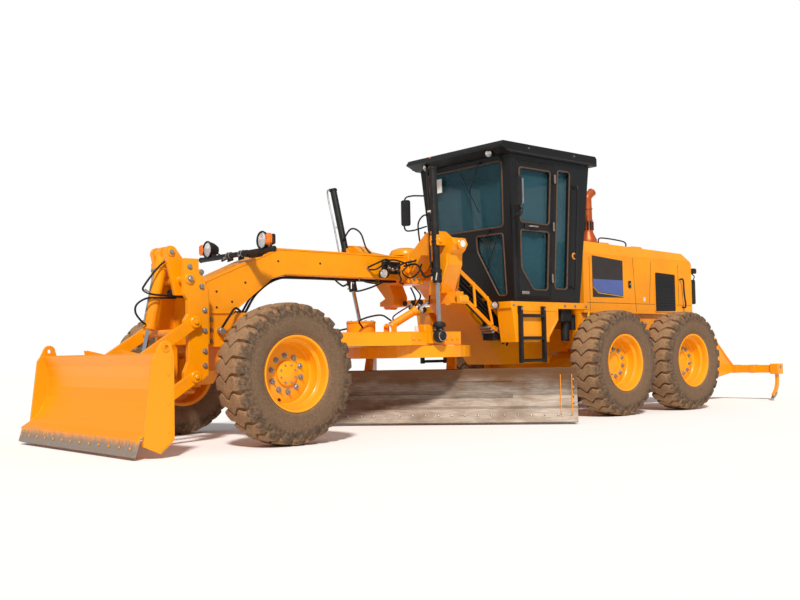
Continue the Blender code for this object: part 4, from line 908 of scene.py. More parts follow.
# ---------------------------------------------------------------- lift yoke and drawbar
def yoke():
    kit = Kit("yoke_fittings")
    # domed cover on the saddle
    kit.lathe([(0.19, 0), (0.19, 0.03), (0.165, 0.07), (0.09, 0.095), (0, 0.1)], (-2.49, 0, 2.0),
              (0, 0, 1), ORANGE, 28)
    for k in range(6):
        a = 2 * math.pi * k / 6
        kit.bolt((-2.49 + 0.165 * math.cos(a), 0.165 * math.sin(a) * 0.8, 2.022), (0, 0, 1), 0.026, ORANGE)
    front = CRANK_FRONT
    for y, z in ((0.62, 2.17), (-0.93, 2.14)):
        side = 1 if y > 0 else -1
        # fork and trunnion that hold the barrel
        for lateral in (0.052, -0.052):
            spot = side_barrel(side, 2.1)
            kit.block((front - 0.02, spot.y + lateral - 0.012, 2.045),
                      (spot.x + 0.035, spot.y + lateral + 0.012, 2.165), ORANGE, 0.008)
        spot = side_barrel(side, 2.105)
        kit.rod(spot + Vector((0, -0.085, 0)), spot + Vector((0, 0.085, 0)), 0.028, ORANGE, 20)
    kit.rod((front + 0.01, 0.6, 2.165), (front - 0.24, 0.6, 2.165), 0.062, ORANGE, 24)
    # black disc on the lug's front: painted shade of its pin hole
    kit.rod((front + 0.016, 0.6, 2.165), (front + 0.02, 0.6, 2.165), 0.03, SATIN, 20)
    kit.rod((-2.48, 0.7, 2.06), (-2.48, 0.985, 2.06), 0.066, ORANGE, 28)
    kit.rod((-2.48, 0.985, 2.06), (-2.48, 0.992, 2.06), 0.04, WHITE, 20)
    kit.rod((front + 0.01, -0.93, 2.13), (front - 0.24, -0.93, 2.13), 0.06, ORANGE, 24)
    kit.rod((front + 0.008, 0.24, 1.9), (front - 0.24, 0.24, 1.9), 0.055, ORANGE, 24)
    kit.rod((front + 0.008, -0.24, 1.9), (front - 0.24, -0.24, 1.9), 0.055, ORANGE, 24)
    for y in (0.24, -0.24):
        kit.bolt((front + 0.008, y, 1.9), (1, 0, 0), 0.05)
    # lock bar: bosses and end caps, and black discs as painted shade in its holes
    for y in (-0.3, 0.0, 0.14, 0.28, 0.74):
        big = y in (-0.3, 0.74)
        kit.lathe([(0.058 if big else 0.032, 0), (0.058 if big else 0.032, 0.02), (0, 0.021)],
                  (-2.48, y, 1.435), (1, 0, 0), ORANGE if big else SATIN, 24)
    kit.rod((-2.6, 0.9, 1.44), (-2.47, 0.9, 1.44), 0.052, ORANGE, 24)
    kit.rod((-2.62, -0.34, 1.435), (-2.46, -0.34, 1.435), 0.06, ORANGE, 24)
    # the left crank's web and the saddle's front plate
    kit.plate([(0.63, 1.95), (0.86, 1.96), (0.86, 1.84), (0.78, 1.66), (0.72, 1.54), (0.64, 1.54),
               (0.64, 1.8)], -2.4, -2.352, ORANGE, "X", 0.01)
    kit.block((-2.355, -0.205, 1.66), (-2.4, 0.205, 2.015), ORANGE, 0.01)
    bolts_on(kit, [(-2.52, 0.201, z) for z in (1.72, 1.95)] + [(-2.44, 0.201, z) for z in (1.72, 1.95)],
             (0, 1, 0), 0.036)
    kit.hose([(-2.395, 0.5, 1.4), (-2.395, 0.52, 1.5), (-2.42, 0.56, 1.6)], 0.009, RUBBER)
    kit.make("root")


def side_barrel(side, z):
    """Where a lift cylinder's line is at a height."""
    top, end = LIFTS[0 if side > 0 else 1]
    return Vector(top).lerp(Vector(end), (top[2] - z) / (top[2] - end[2]))


LIFTS = (((-2.27, 0.74, 2.94), (-2.27, 0.8, 1.03)), ((-2.27, -1.11, 2.94), (-2.37, -0.68, 1.03)))


def lift_cylinders():
    for name, (top, end) in zip(("left", "right"), LIFTS):
        top, end = Vector(top), Vector(end)
        along = (end - top).normalized()
        kit = Kit(f"lift_cylinder_{name}_fittings")
        gland = top + (end - top) * 0.686
        kit.rod(gland - along * 0.13, gland + along * 0.004, 0.053, SATIN, 28)
        kit.rod(gland - along * 0.15, gland - along * 0.1, 0.06, SATIN, 28)
        kit.rod(top - along * 0.002, top + along * 0.03, 0.05, SATIN, 28)
        kit.ring(top + along * 0.84, along, 0.045, 0.006, SATIN, 28)
        aside = Vector((0.02, -0.075, 0)) if name == "left" else Vector((0.035, -0.085, 0))
        pipe = [top + along * 0.03 + aside * 0.3, top + along * 0.045 + aside, top + along * 0.5 + aside,
                top + along * 1.1 + aside, top + along * 1.16 + aside * 0.5]
        kit.hose(pipe, 0.01, STEEL if name == "right" else SATIN, 10)
        kit.block(top + along * 0.5 + Vector((-0.02, -0.09, -0.012)),
                  top + along * 0.5 + Vector((0.03, 0.0, 0.012)), WHITE, 0.004)
        kit.rivet(top + aside * 0.5 - along * 0.001, -along, 0.016, HEAT)
        for lateral in (0.035, -0.035):
            kit.rod(gland - along * 0.12 + Vector((0.03, lateral, 0)),
                    gland - along * 0.02 + Vector((0.055, lateral, 0)), 0.01, ZINC, 10)
        kit.hose([gland - along * 0.1 + Vector((0.05, 0.0, 0)), gland + Vector((0.1, -0.1, 0.07)),
                  gland + Vector((0.05, -0.28, 0.22)),
                  Vector((-2.3, 0.19 if name == "left" else -0.19, 1.86))], 0.012, RUBBER)
        kit.make("root")
        rod = Kit(f"lift_rod_{name}_ball")
        rod.ball(end, 0.078, SATIN, 24)
        rod.rod(end - along * 0.16, end - along * 0.05, 0.042, SATIN, 24)
        rod.lathe([(0.072, 0), (0.078, 0.02), (0.06, 0.05), (0.04, 0.055)], end - along * 0.1, -along,
                  SATIN, 24)
        for k in range(6):
            a = math.pi / 3 * k
            spot = end - along * 0.065 + Vector((0.066 * math.cos(a), 0.066 * math.sin(a), 0))
            rod.bolt(spot, -along, 0.022)
        rod.make(f"lift_rod_{name}")
        boot = Kit(f"lift_rod_{name}_surface")
        boot.rod(top.lerp(end, 0.7), end - along * 0.12, 0.0248, CHROME, 24)
        boot.make(f"lift_rod_{name}")


def beam_hoses():
    kit = Kit("beam_hoses")
    lamp(kit, (-1.9, 0.29, 1.752), (1, 0.35, -0.05), 0.055, 0.09, SATIN)
    kit.block((-1.99, 0.165, 1.72), (-1.93, 0.26, 1.79), SATIN, 0.006)
    kit.block((-2.22, 0.162, 1.76), (-1.97, 0.225, 1.9), SATIN, 0.008)
    for k in range(4):
        kit.rod((-2.18 + 0.055 * k, 0.225, 1.8 + 0.02 * (k % 2)),
                (-2.18 + 0.055 * k, 0.27, 1.8 + 0.02 * (k % 2)), 0.014, ZINC if k % 2 else BRASS, 12)
    y = 0.27
    runs = [[(-1.76, 0.165, 1.82), (-1.8, y, 1.86), (-1.95, y, 1.915), (-2.05, 0.22, 1.9)],
            [(-1.97, 0.22, 1.905), (-2.1, y, 1.915), (-2.26, y + 0.02, 1.86), (-2.2, y, 1.78),
             (-2.3, y + 0.02, 1.715), (-2.42, y + 0.05, 1.8), (-2.44, y + 0.08, 1.98),
             (-2.38, y + 0.1, 2.2), (-2.36, y + 0.12, 2.36), (-2.42, y + 0.18, 2.44),
             (-2.46, y + 0.26, 2.3), (-2.46, y + 0.26, 2.16)],
            [(-1.78, 0.165, 1.8), (-1.82, y - 0.02, 1.8), (-1.93, y, 1.86), (-2.02, 0.225, 1.84)],
            [(-2.06, y - 0.01, 1.81), (-2.2, y + 0.03, 1.88), (-2.38, y + 0.06, 1.93),
             (-2.5, y + 0.12, 2.08), (-2.44, y + 0.2, 2.16), (-2.42, y + 0.16, 2.24),
             (-2.5, y + 0.1, 2.17), (-2.56, y + 0.06, 1.95)],
            [(-2.12, y - 0.01, 1.81), (-2.16, y + 0.02, 1.7), (-2.22, 0.2, 1.665), (-2.34, 0.12, 1.66)],
            [(-1.7, 0.1, 1.69), (-1.74, 0.18, 1.655), (-1.86, 0.2, 1.645), (-1.95, 0.12, 1.688)],
            [(-2.3, -0.19, 1.7), (-2.26, -0.4, 1.64), (-2.28, -0.7, 1.62), (-2.3, -0.77, 1.72)],
            [(-2.34, 0.3, 1.62), (-2.34, 0.42, 1.5), (-2.36, 0.3, 1.38), (-2.33, 0.38, 1.33),
             (-2.3, 0.44, 1.39)], [(-2.34, 0.26, 1.6), (-2.33, 0.34, 1.46), (-2.35, 0.22, 1.36),
                                   (-2.36, 0.2, 1.41)], ]
    for k, run in enumerate(runs):
        kit.hose(run, 0.0095 if k % 3 else 0.011, RUBBER)
        for end in (run[0], run[-1]):
            kit.ball(end, 0.015, ZINC, 10)
    far = [(-2.27, -0.95, 2.24), (-2.3, -0.8, 2.4), (-2.34, -0.66, 2.34), (-2.36, -0.58, 2.15),
           (-2.38, -0.5, 2.06)]
    kit.hose(far, 0.011, RUBBER)
    kit.make("root")


def hose_tray():
    """Tray down the left leg: two rails, three straps and the hoses they hold. The black hoses and the
    black valve block below them are real parts that also stand in, as painted shade, for the dark gap under
    the cab.
    """
    kit = Kit("hose_tray")
    upper = [(-2.78, 1.93), (-2.87, 1.835), (-3.1, 1.675), (-3.33, 1.51), (-3.5, 1.34), (-3.6, 1.21)]
    lower = [(-2.72, 1.67), (-2.82, 1.59), (-3.12, 1.38), (-3.41, 1.17), (-3.5, 1.13), (-3.63, 1.125)]
    outer = 0.52

    def between(share, y):
        return [(a[0] + (b[0] - a[0]) * share, y, a[1] + (b[1] - a[1]) * share) for a,
                b in zip(upper, lower)]

    for share in (0.0, 1.0):
        path = curve(between(share, outer), 4)
        for one, two in zip(path, path[1:]):
            kit.tube([one, two], 0.012, ORANGE, 6)
            kit.tube([Vector(one) + Vector((0, 0, -0.035)), Vector(two) + Vector((0, 0, -0.035))], 0.012,
                     ORANGE, 6)
            kit.tube([Vector(one) + Vector((0, 0, -0.0175)), Vector(two) + Vector((0, 0, -0.0175))], 0.014,
                     ORANGE, 6)
    for n in (1, 2, 3):
        a, b = upper[n], lower[n]
        kit.tube([(a[0], outer + 0.012, a[1]), (b[0], outer + 0.012, b[1])], 0.017, ORANGE, 8)
        kit.block((a[0] - 0.02, 0.29, a[1] - 0.05), (a[0] + 0.01, outer, a[1] - 0.01), ORANGE)
    for k in range(13):
        share = 0.04 + 0.92 * k / 12
        y = outer - 0.04 - 0.03 * (k % 3)
        line = [(-2.62, 0.315, 1.92 - 0.02 * k)]
        line += [(x + 0.01 * math.sin(2.1 * k + n), y, z + 0.012 * math.sin(1.7 * k + 2 * n)) for n,
                 (x, _, z) in enumerate(between(share, y))][:5]
        line += [(-3.66 - 0.01 * k, y - 0.03, 1.19 - 0.014 * k), (-3.82, y - 0.1, 1.16 - 0.02 * k)]
        kit.hose(line, 0.0135, RUBBER, 8, 5)
    for k in range(7):
        x, z = -3.36 - 0.035 * k, 1.14 - 0.03 * (k % 3)
        kit.rod((x, 0.36, z), (x, outer + 0.01, z), 0.015, BRASS if k % 2 else ZINC, 12)
        kit.rod((x, 0.44, z), (x, outer + 0.022, z), 0.01, ZINC, 12)
    # valve block between the legs and the deck, in black: also painted shade of the gap under the cab
    kit.block((-3.66, 0.31, 0.98), (-3.46, 0.5, 1.3), SATIN, 0.01)
    for k in range(6):
        kit.rod((-3.455, 0.33 + 0.03 * k, 1.05 + 0.035 * k), (-3.425, 0.33 + 0.03 * k, 1.05 + 0.035 * k),
                0.013, ZINC, 12)
    kit.make("root")


def drawbar_details():
    kit = Kit("drawbar_fittings")
    kit.lathe([(0.172, 0), (0.172, 0.012), (0.15, 0.02), (0, 0.024)], (-1.79, 0, 1.198), (0, 0, 1), ORANGE,
              40)
    for k in range(10):
        a = 2 * math.pi * k / 10
        kit.bolt((-1.79 + 0.145 * math.cos(a), 0.145 * math.sin(a), 1.214), (0, 0, 1), 0.024)
    for k in range(9):
        x = -1.98 - 0.085 * k
        if not -2.4 < x < -2.14:
            kit.bolt((x, 0.681, 1.005), (0, 1, 0), 0.032, ORANGE)
    kit.tube([(-0.45, 0.083, 1.078), (-1.2, 0.338, 1.078), (-1.95, 0.678, 1.078), (-2.72, 0.678, 1.078)],
             0.005, ORANGE, 6)
    kit.block((-2.26, 0.56, 1.08), (-2.16, 0.68, 1.16), ORANGE, 0.01)
    kit.rod((-2.1, 0.6, 1.09), (-2.1, 0.6, 1.15), 0.016, WHITE)
    kit.hose([(-1.7, 0.14, 1.14), (-1.6, 0.22, 1.22), (-1.86, 0.26, 1.28), (-2.04, 0.24, 1.22)], 0.01,
             RUBBER)
    kit.hose([(-1.72, -0.14, 1.14), (-1.4, -0.1, 1.1), (-0.9, -0.03, 1.1), (-0.5, 0.0, 1.06)], 0.01, RUBBER)
    for side in (1, -1):
        kit.rod((-2.06, 0.2 + side * 0.055, 1.155), (-2.06, 0.2 + side * 0.075, 1.155), 0.035, ORANGE, 20)
        kit.block((-2.1, 0.2 + side * 0.058, 1.075), (-2.02, 0.2 + side * 0.074, 1.17), ORANGE)
    kit.make("drawbar")

    shift = Kit("centre_shift_fittings")
    start, end = Vector((-2.06, 0.2, 1.155)), Vector((-2.42, 0.47, 1.425))
    along = (end - start).normalized()
    gland = start.lerp(end, 0.68)
    shift.rod(gland - along * 0.05, gland + along * 0.012, 0.053, ORANGE, 24)
    aside = Vector((0.035, 0.0, 0.055))
    shift.hose([start + along * 0.06 + aside * 0.7, start + along * 0.1 + aside * 1.3,
                gland - along * 0.06 + aside * 1.3, gland - along * 0.03 + aside * 0.7], 0.008, SATIN)
    shift.rod(gland - along * 0.03 + aside * 0.6, gland - along * 0.03 + aside * 1.6, 0.014, ZINC, 12)
    shift.make("centre_shift_cylinder")

    gear = Kit("circle_teeth")
    centre = Vector((-2.48, 0, 0.8))
    for k in range(72):
        a = 2 * math.pi * k / 72
        at = Matrix.Translation(centre) @ Matrix.Rotation(a, 4, "Z") @ Matrix.Translation((0.596, 0, 0))
        gear.plate([(-0.028, -0.008), (0.006, -0.017), (0.006, 0.017), (-0.028, 0.008)], 0.0, 0.11, STEEL,
                   "Z", 0.003, at)
    gear.make("circle")


BLADE_TURN = math.radians(130.2)


def blade_at(along, ahead, up):
    """From blade lines about the circle's middle to the machine."""
    c, s = math.cos(BLADE_TURN), math.sin(BLADE_TURN)
    return Vector((-2.48 + along * c + ahead * s, along * s - ahead * c, up))


def moldboard_details():
    kit = Kit("moldboard_fittings")
    face = (blade_at(0, 1, 0) - blade_at(0, 0, 0)).normalized()
    outward = (face * 0.95 + Vector((0, 0, 0.31))).normalized()
    for k in range(24):
        a = -1.6 + 3.52 * k / 23
        kit.rivet(blade_at(a, 0.178, 0.108), outward, 0.013, STEEL)
        kit.bolt(blade_at(a, 0.128, 0.085), -outward, 0.03)
    # end bits, bolted over the edge
    for a, way in ((1.99, -1), (-1.67, 1)):
        for k in range(4):
            kit.rivet(blade_at(a + way * 0.045, 0.095 - 0.012 * k + 0.012 * k * k * 0.3, 0.24 + 0.09 * k),
                      outward, 0.012, ZINC)
    for a in (1.8, 1.93):
        kit.tube([blade_at(a, 0.45 + 0.391 * math.cos(math.radians(t)),
                           0.42 + 0.391 * math.sin(math.radians(t))) for t in range(158, 232, 8)], 0.006,
                 ORANGE, 6)
    kit.make("moldboard")


# ---------------------------------------------------------------- cab
def side_wall(z, out=0.0):
    return 0.69 + 0.11 * (z - 1.4403) / 1.7997 + out


def front_wall(z, out=0.0):
    return -3.65 + 0.15 * (z - 1.4403) / 1.7997 + out


def rear_wall(z, out=0.0):
    return -4.9 - 0.12 * (z - 1.4403) / 1.7997 - out


DOOR_PANES = ([(-3.715, 2.42), (-3.665, 3.09), (-4.25, 3.09), (-4.25, 2.42)],
              [(-3.755, 1.86), (-3.72, 2.33), (-4.25, 2.33), (-4.25, 1.6), (-3.98, 1.6)])
QUARTER_PANE = [(-4.39, 1.62), (-4.39, 3.12), (-4.63, 3.12), (-4.63, 1.62)]
WINDSHIELD = [(-0.6, 2.37), (0.6, 2.37), (0.66, 3.17), (-0.66, 3.17)]
CORNER_PANE = [(0.13, 2.29), (0.585, 2.29), (0.57, 1.53), (0.44, 1.53), (0.13, 2.1)]
REAR_PANE = [(-0.52, 1.95), (0.52, 1.95), (0.6, 3.1), (-0.6, 3.1)]
DOOR_EDGE = [(-3.7, 1.49), (-3.585, 3.18), (-4.323, 3.18), (-4.323, 1.49)]


def on_side(outline, side, out, corner=0.05):
    """Points of an (X, Z) outline laid on a side wall."""
    return [(x, side * side_wall(z, out), z) for x, z in rounded(outline, corner)]


def cab_trim():
    kit = Kit("cab_trim")
    for side in (1, -1):
        kit.tube(on_side(QUARTER_PANE, side, 0.001), 0.011, GASKET, 8, True)
        kit.tube(on_side(DOOR_EDGE, side, -0.002, 0.02), 0.008, RUBBER, 6, True)
        pane = [(front_wall(z, 0.001), side * y, z) for y, z in rounded(CORNER_PANE, 0.04)]
        kit.tube(pane, 0.011, GASKET, 8, True)
        # roof brackets, corner posts and lamps
        for x in (-3.79, -4.66):
            kit.block((x - 0.035, side * 0.835, 3.3), (x + 0.035, side * 0.853, 3.345), SATIN)
            kit.rivet((x, side * 0.853, 3.325), (0, side, 0), 0.01, ZINC)
        for z in (1.75, 2.4, 3.0):
            kit.block((-4.345, side * (side_wall(z) - 0.004), z - 0.05),
                      (-4.3, side * (side_wall(z) + 0.022), z + 0.05), SATIN, 0.005)
            kit.rod((-4.322, side * (side_wall(z) + 0.022), z - 0.055),
                    (-4.322, side * (side_wall(z) + 0.022), z + 0.055), 0.01, ZINC)
        # grab rail behind the door
        post = -4.73
        kit.hose([(post, side * side_wall(1.66), 1.66), (post, side * (side_wall(1.66) + 0.06), 1.68),
                  (post, side * (side_wall(2.3) + 0.06), 2.3), (post, side * (side_wall(2.92) + 0.06), 2.9),
                  (post, side * side_wall(2.92), 2.92)], 0.012, SATIN)
        kit.rod((-4.757, side * side_wall(2.054), 2.054), (-4.757, side * (side_wall(2.054) + 0.01),
                                                           2.054), 0.045, ORANGE, 28)
        kit.rod((-4.757, side * (side_wall(2.054) + 0.01), 2.054),
                (-4.757, side * (side_wall(2.054) + 0.012), 2.054), 0.026, BROWN, 24)
        lamp(kit, (-3.36, side * 0.575, ROOF_EAVES - 0.012), (1, side * 0.3, -0.25), 0.046, 0.07, SATIN)
        kit.block((-3.46, side * 0.555, 3.225), (-3.38, side * 0.595, ROOF_EAVES), SATIN)
        lamp(kit, (-3.335, side * 0.65, 1.4), (1, side * 0.2, -0.15), 0.045, 0.065, SATIN)
        lamp(kit, (-5.1, side * 0.6, 3.2), (-1, side * 0.2, -0.25), 0.055, 0.07, SATIN)
        kit.hose([(-3.47, side * 0.62, 3.24), (-3.52, side * 0.7, 3.1), (-3.545, side * 0.735, 2.7),
                  (-3.6, side * 0.72, 2.1)], 0.008, RUBBER)
        # gutter under the roof's edge
        kit.tube([(-3.4, side * 0.845, ROOF_EAVES), (-5.12, side * 0.845, ROOF_EAVES)], 0.008, BROWN, 6)
    kit.tube([(front_wall(z, 0.001), y, z) for y, z in rounded(WINDSHIELD, 0.05)], 0.012, GASKET, 8, True)
    kit.tube([(rear_wall(z, 0.001), y, z) for y, z in rounded(REAR_PANE, 0.05)], 0.012, GASKET, 8, True)
    kit.tube([(-3.3, -0.845, 3.305), (-3.3, 0.845, 3.305)], 0.006, BROWN, 6)
    # wipers
    for top, tip in (((0.3, 3.185), (-0.05, 2.62)), ((0.36, 2.335), (0.4, 1.86))):
        y0, z0 = top
        y1, z1 = tip
        start, end = Vector((front_wall(z0, 0.035), y0, z0)), Vector((front_wall(z1, 0.03), y1, z1))
        kit.rod((front_wall(z0), y0, z0), start, 0.016, SATIN)
        kit.tube([start, start.lerp(end, 0.6)], 0.006, SATIN, 6)
        across = Vector((0, 0.3, -0.52)) if z0 > 3 else Vector((0, -0.16, -0.3))
        middle_point = start.lerp(end, 0.6)
        kit.tube([middle_point - across * 0.5 - Vector((0.018, 0, 0)),
                  middle_point + across * 0.5 - Vector((0.018, 0, 0))], 0.006, RUBBER, 6)
    # blank label at the top of the windshield, on its left
    kit.plate([(-0.6, 2.92), (-0.42, 2.92), (-0.42, 3.1), (-0.605, 3.1)], -3.525, -3.52, WHITE, "X", 0.001)
    # beacon
    kit.lathe([(0.045, 0), (0.045, 0.01), (0.036, 0.012), (0.034, 0.035), (0.022, 0.05), (0, 0.053)],
              (-3.345, -0.42, 3.315), (0, 0, 1), AMBER, 24)
    # mirrors on their arms
    tube = 0.011
    kit.hose([(-3.56, 0.8, 2.92), (-3.42, 0.95, 2.93), (-3.37, 1.05, 2.9), (-3.37, 1.06, 2.72),
              (-3.37, 1.05, 2.52), (-3.42, 0.95, 2.47), (-3.58, 0.77, 2.46)], tube, SATIN)
    kit.hose([(-3.55, -0.8, 2.93), (-3.55, -1.05, 2.96), (-3.55, -1.18, 2.93), (-3.55, -1.2, 2.74),
              (-3.55, -1.19, 2.53), (-3.55, -1.05, 2.49), (-3.57, -0.78, 2.52)], tube, SATIN)
    mirror(kit, (-3.35, 1.06, 2.72), 0.075, 0.175, (-1, 0.35, 0))
    kit.rod((-3.355, 1.125, 2.58), (-3.355, 1.125, 2.87), 0.01, STEEL)
    mirror(kit, (-3.4, 0.99, 2.71), 0.045, 0.15, (-1, 0.6, 0))
    mirror(kit, (-3.53, -1.135, 2.735), 0.062, 0.175, (-1, -0.55, 0))
    kit.lathe([(0, 0), (0.05, 0.008), (0.058, 0.02), (0.058, 0.03), (0, 0.032)], (-3.335, 1.06, 2.485),
              (-1, 0.3, -0.3), SATIN, 24)
    kit.make("root")


def mirror(kit, centre, half, tall, facing):
    """A rounded mirror with a bright face."""
    facing = Vector(facing).normalized()
    across = facing.cross(Vector((0, 0, 1))).normalized()
    at = Matrix((across, Vector((0, 0, 1)), facing)).transposed().to_4x4()
    at = Matrix.Translation(Vector(centre)) @ at
    outline = rounded([(-half, -tall), (half, -tall), (half, tall), (-half, tall)], 0.03)
    kit.plate(outline, -0.045, 0.012, PLASTIC, "Z", 0.012, at)
    kit.plate([(x * 0.86, y * 0.94) for x, y in outline], 0.011, 0.015, MIRROR, "Z", 0.001, at)


def cab_doors():
    for word, side in (("left", 1), ("right", -1)):
        kit = Kit(f"door_{word}_fittings")
        for outline in DOOR_PANES:
            kit.tube(on_side(outline, side, 0.002), 0.011, GASKET, 8, True)
        kit.tube(on_side([(-3.735, 1.52), (-3.625, 3.15), (-4.3, 3.15), (-4.3, 1.52)], side, 0.0, 0.03),
                 0.006, RUBBER, 6, True)
        z = 2.375
        kit.block((-4.02, side * side_wall(z), z - 0.035), (-3.79, side * side_wall(z, 0.02), z + 0.035),
                  SATIN, 0.008)
        kit.hose([(-3.99, side * side_wall(z, 0.018), z), (-3.98, side * side_wall(z, 0.055), z),
                  (-3.86, side * side_wall(z, 0.055), z), (-3.85, side * side_wall(z, 0.018), z)], 0.01,
                 ZINC)
        z = 1.56
        kit.block((-3.9, side * side_wall(z), z - 0.02), (-3.77, side * side_wall(z, 0.018), z + 0.02),
                  ZINC, 0.006)
        kit.hose([(-4.21, side * (side_wall(1.7) - 0.055), 1.66),
                  (-4.21, side * (side_wall(1.7) - 0.1), 1.72),
                  (-4.21, side * (side_wall(2.2) - 0.1), 2.22),
                  (-4.21, side * (side_wall(2.3) - 0.055), 2.28)], 0.01, SATIN)
        kit.make(f"door_{word}")


def cushion(kit, low, high, material, soft=0.42, at=None, rings=20, sides=36):
    """A pillow-shaped block between two corners."""
    low, high = Vector(low), Vector(high)
    centre, half = (low + high) / 2, (high - low) / 2

    def bent(value):
        return math.copysign(abs(value) ** soft, value)

    points, faces = [], []
    for r in range(rings + 1):
        v = -math.pi / 2 + math.pi * r / rings
        for s in range(sides):
            u = 2 * math.pi * s / sides
            points.append(centre + Vector((half.x * bent(math.cos(v)) * bent(math.cos(u)),
                                           half.y * bent(math.cos(v)) * bent(math.sin(u)),
                                           half.z * bent(math.sin(v)))))
    for r in range(rings):
        for s in range(sides):
            n = (s + 1) % sides
            faces.append([r * sides + s, r * sides + n, (r + 1) * sides + n, (r + 1) * sides + s])
    kit.add(points, faces, material, True, at)


def cab_inside():
    kit = Kit("operator_seat_cushions")
    cushion(kit, (-4.66, -0.255, 1.78), (-4.16, 0.255, 1.925), SEAT, 0.35)
    lean = Matrix.Translation((-4.63, 0, 1.9)) @ Matrix.Rotation(math.radians(-9), 4, "Y")
    cushion(kit, (-0.075, -0.25, 0.0), (0.075, 0.25, 0.6), SEAT, 0.38, lean)
    seat = kit.make("root")
    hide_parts("operator_seat")
    base = Kit("operator_seat_base")
    base.block((-4.54, -0.17, 1.5005), (-4.26, 0.17, 1.56), PLASTIC, 0.01)
    for k in range(6):
        base.block((-4.52 + 0.01 * (k % 2), -0.15, 1.565 + 0.035 * k),
                   (-4.28 - 0.01 * (k % 2), 0.15, 1.595 + 0.035 * k), RUBBER, 0.012)
    base.block((-4.6, -0.2, 1.765), (-4.22, 0.2, 1.785), SATIN)
    for side in (1, -1):
        base.block((-4.58, side * 0.3, 2.06), (-4.22, side * 0.36, 2.11), PLASTIC, 0.02)
        base.rod((-4.52, side * 0.33, 1.8), (-4.5, side * 0.33, 2.08), 0.015, SATIN)
    base.make("root")
    console = Kit("steering_column")
    console.plate([(-3.9, 1.501), (-3.955, 2.12), (-4.04, 2.16), (-4.09, 1.501)], -0.15, 0.15, PLASTIC,
                  "Y", 0.02)
    hub = Vector((-4.02, 0, 2.28))
    tilt = Matrix.Rotation(math.radians(-25), 3, "Y")
    axis = tilt @ Vector((0, 0, 1))
    console.rod(hub - axis * 0.16, hub + axis * 0.012, 0.03, PLASTIC, 24)
    console.rod(hub - axis * 0.012, hub + axis * 0.014, 0.045, PLASTIC, 24)
    console.ring(hub, axis, 0.185, 0.0135, PLASTIC, 48, 10)
    for k in range(3):
        a = 2 * math.pi * k / 3 + 0.5
        console.rod(hub, hub + tilt @ Vector((0.175 * math.cos(a), 0.175 * math.sin(a), 0)), 0.01, SATIN)
    console.ball(hub + tilt @ Vector((0.0, 0.185, 0.035)), 0.024, PLASTIC, 16)
    for k in range(5):
        y = 0.05 + 0.022 * k
        for foot in (y, -y):
            console.rod((-3.97, foot, 2.13), (-4.01, foot * 1.1, 2.33), 0.004, STEEL, 8)
            console.ball((-4.01, foot * 1.1, 2.335), 0.012, PLASTIC, 12)
    made = console.make("root")
    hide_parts("steering_console")


# ---------------------------------------------------------------- deck and steps
def deck():
    kit = Kit("deck_fittings")
    for side in (1, -1):
        y = side * DECK_EDGE
        kit.tube([(-3.5, y, 1.33), (-4.24, y, 1.33), (-4.24, y, 1.235), (-4.07, y, 1.015)], 0.005, ORANGE,
                 6)
        kit.tube([(-3.5, y, 1.33), (-3.5, y, 0.97), (-4.07, y, 0.97)], 0.005, ORANGE, 6)
        for x in (-3.45, -4.4, -4.6, -4.82):
            kit.bolt((x, y, 1.4), (0, side, 0), 0.03, ZINC)
        kit.block((-4.6, side * 0.62, 1.2), (-4.4, side * 0.8, 1.362), SATIN, 0.01)
        kit.rod((-4.55, side * 0.72, 0.96), (-4.55, side * 0.72, 1.3), 0.055, SATIN, 24)
        kit.rod((-4.7, side * 0.72, 1.1), (-4.7, side * 0.72, 1.3), 0.04, SATIN, 24)
        # anti-slip pads on the deck beside the door and in front of the cab
        for k in range(7):
            x = -3.7 - 0.09 * k
            kit.block((x, side * 0.745, 1.4405), (x - 0.05, side * 0.835, 1.4465), SATIN, 0.002)
        for word in (0, 1):
            x = (-3.54, -3.96)[word]
            kit.block((x - 0.03, side * 0.852, 1.3), (x + 0.03, side * 0.875, 1.385), SATIN)
            kit.bolt((x, side * 0.901, 1.35), (0, side, 0), 0.026)
        # red lock rod with a yellow grip
        kit.rod((-4.93, side * 0.8, 0.98), (-4.93, side * 0.8, 1.24), 0.014, RED)
        kit.rod((-4.93, side * 0.8, 1.24), (-4.93, side * 0.8, 1.33), 0.016, YELLOW)
    kit.make("root")
    steps = Kit("step_treads")
    for side in (1, -1):
        for z in (0.742, 1.012, 1.282):
            for k in range(9):
                x = -3.575 - 0.0425 * k
                steps.block((x, side * 0.862, z - 0.002), (x - 0.02, side * 0.896, z + 0.006), SATIN, 0.002)
    steps.make("root")


# ---------------------------------------------------------------- rear
def hood_top(x):
    return 2.33 - 0.07 * (x + 5.23) / (-7.68 + 5.23)


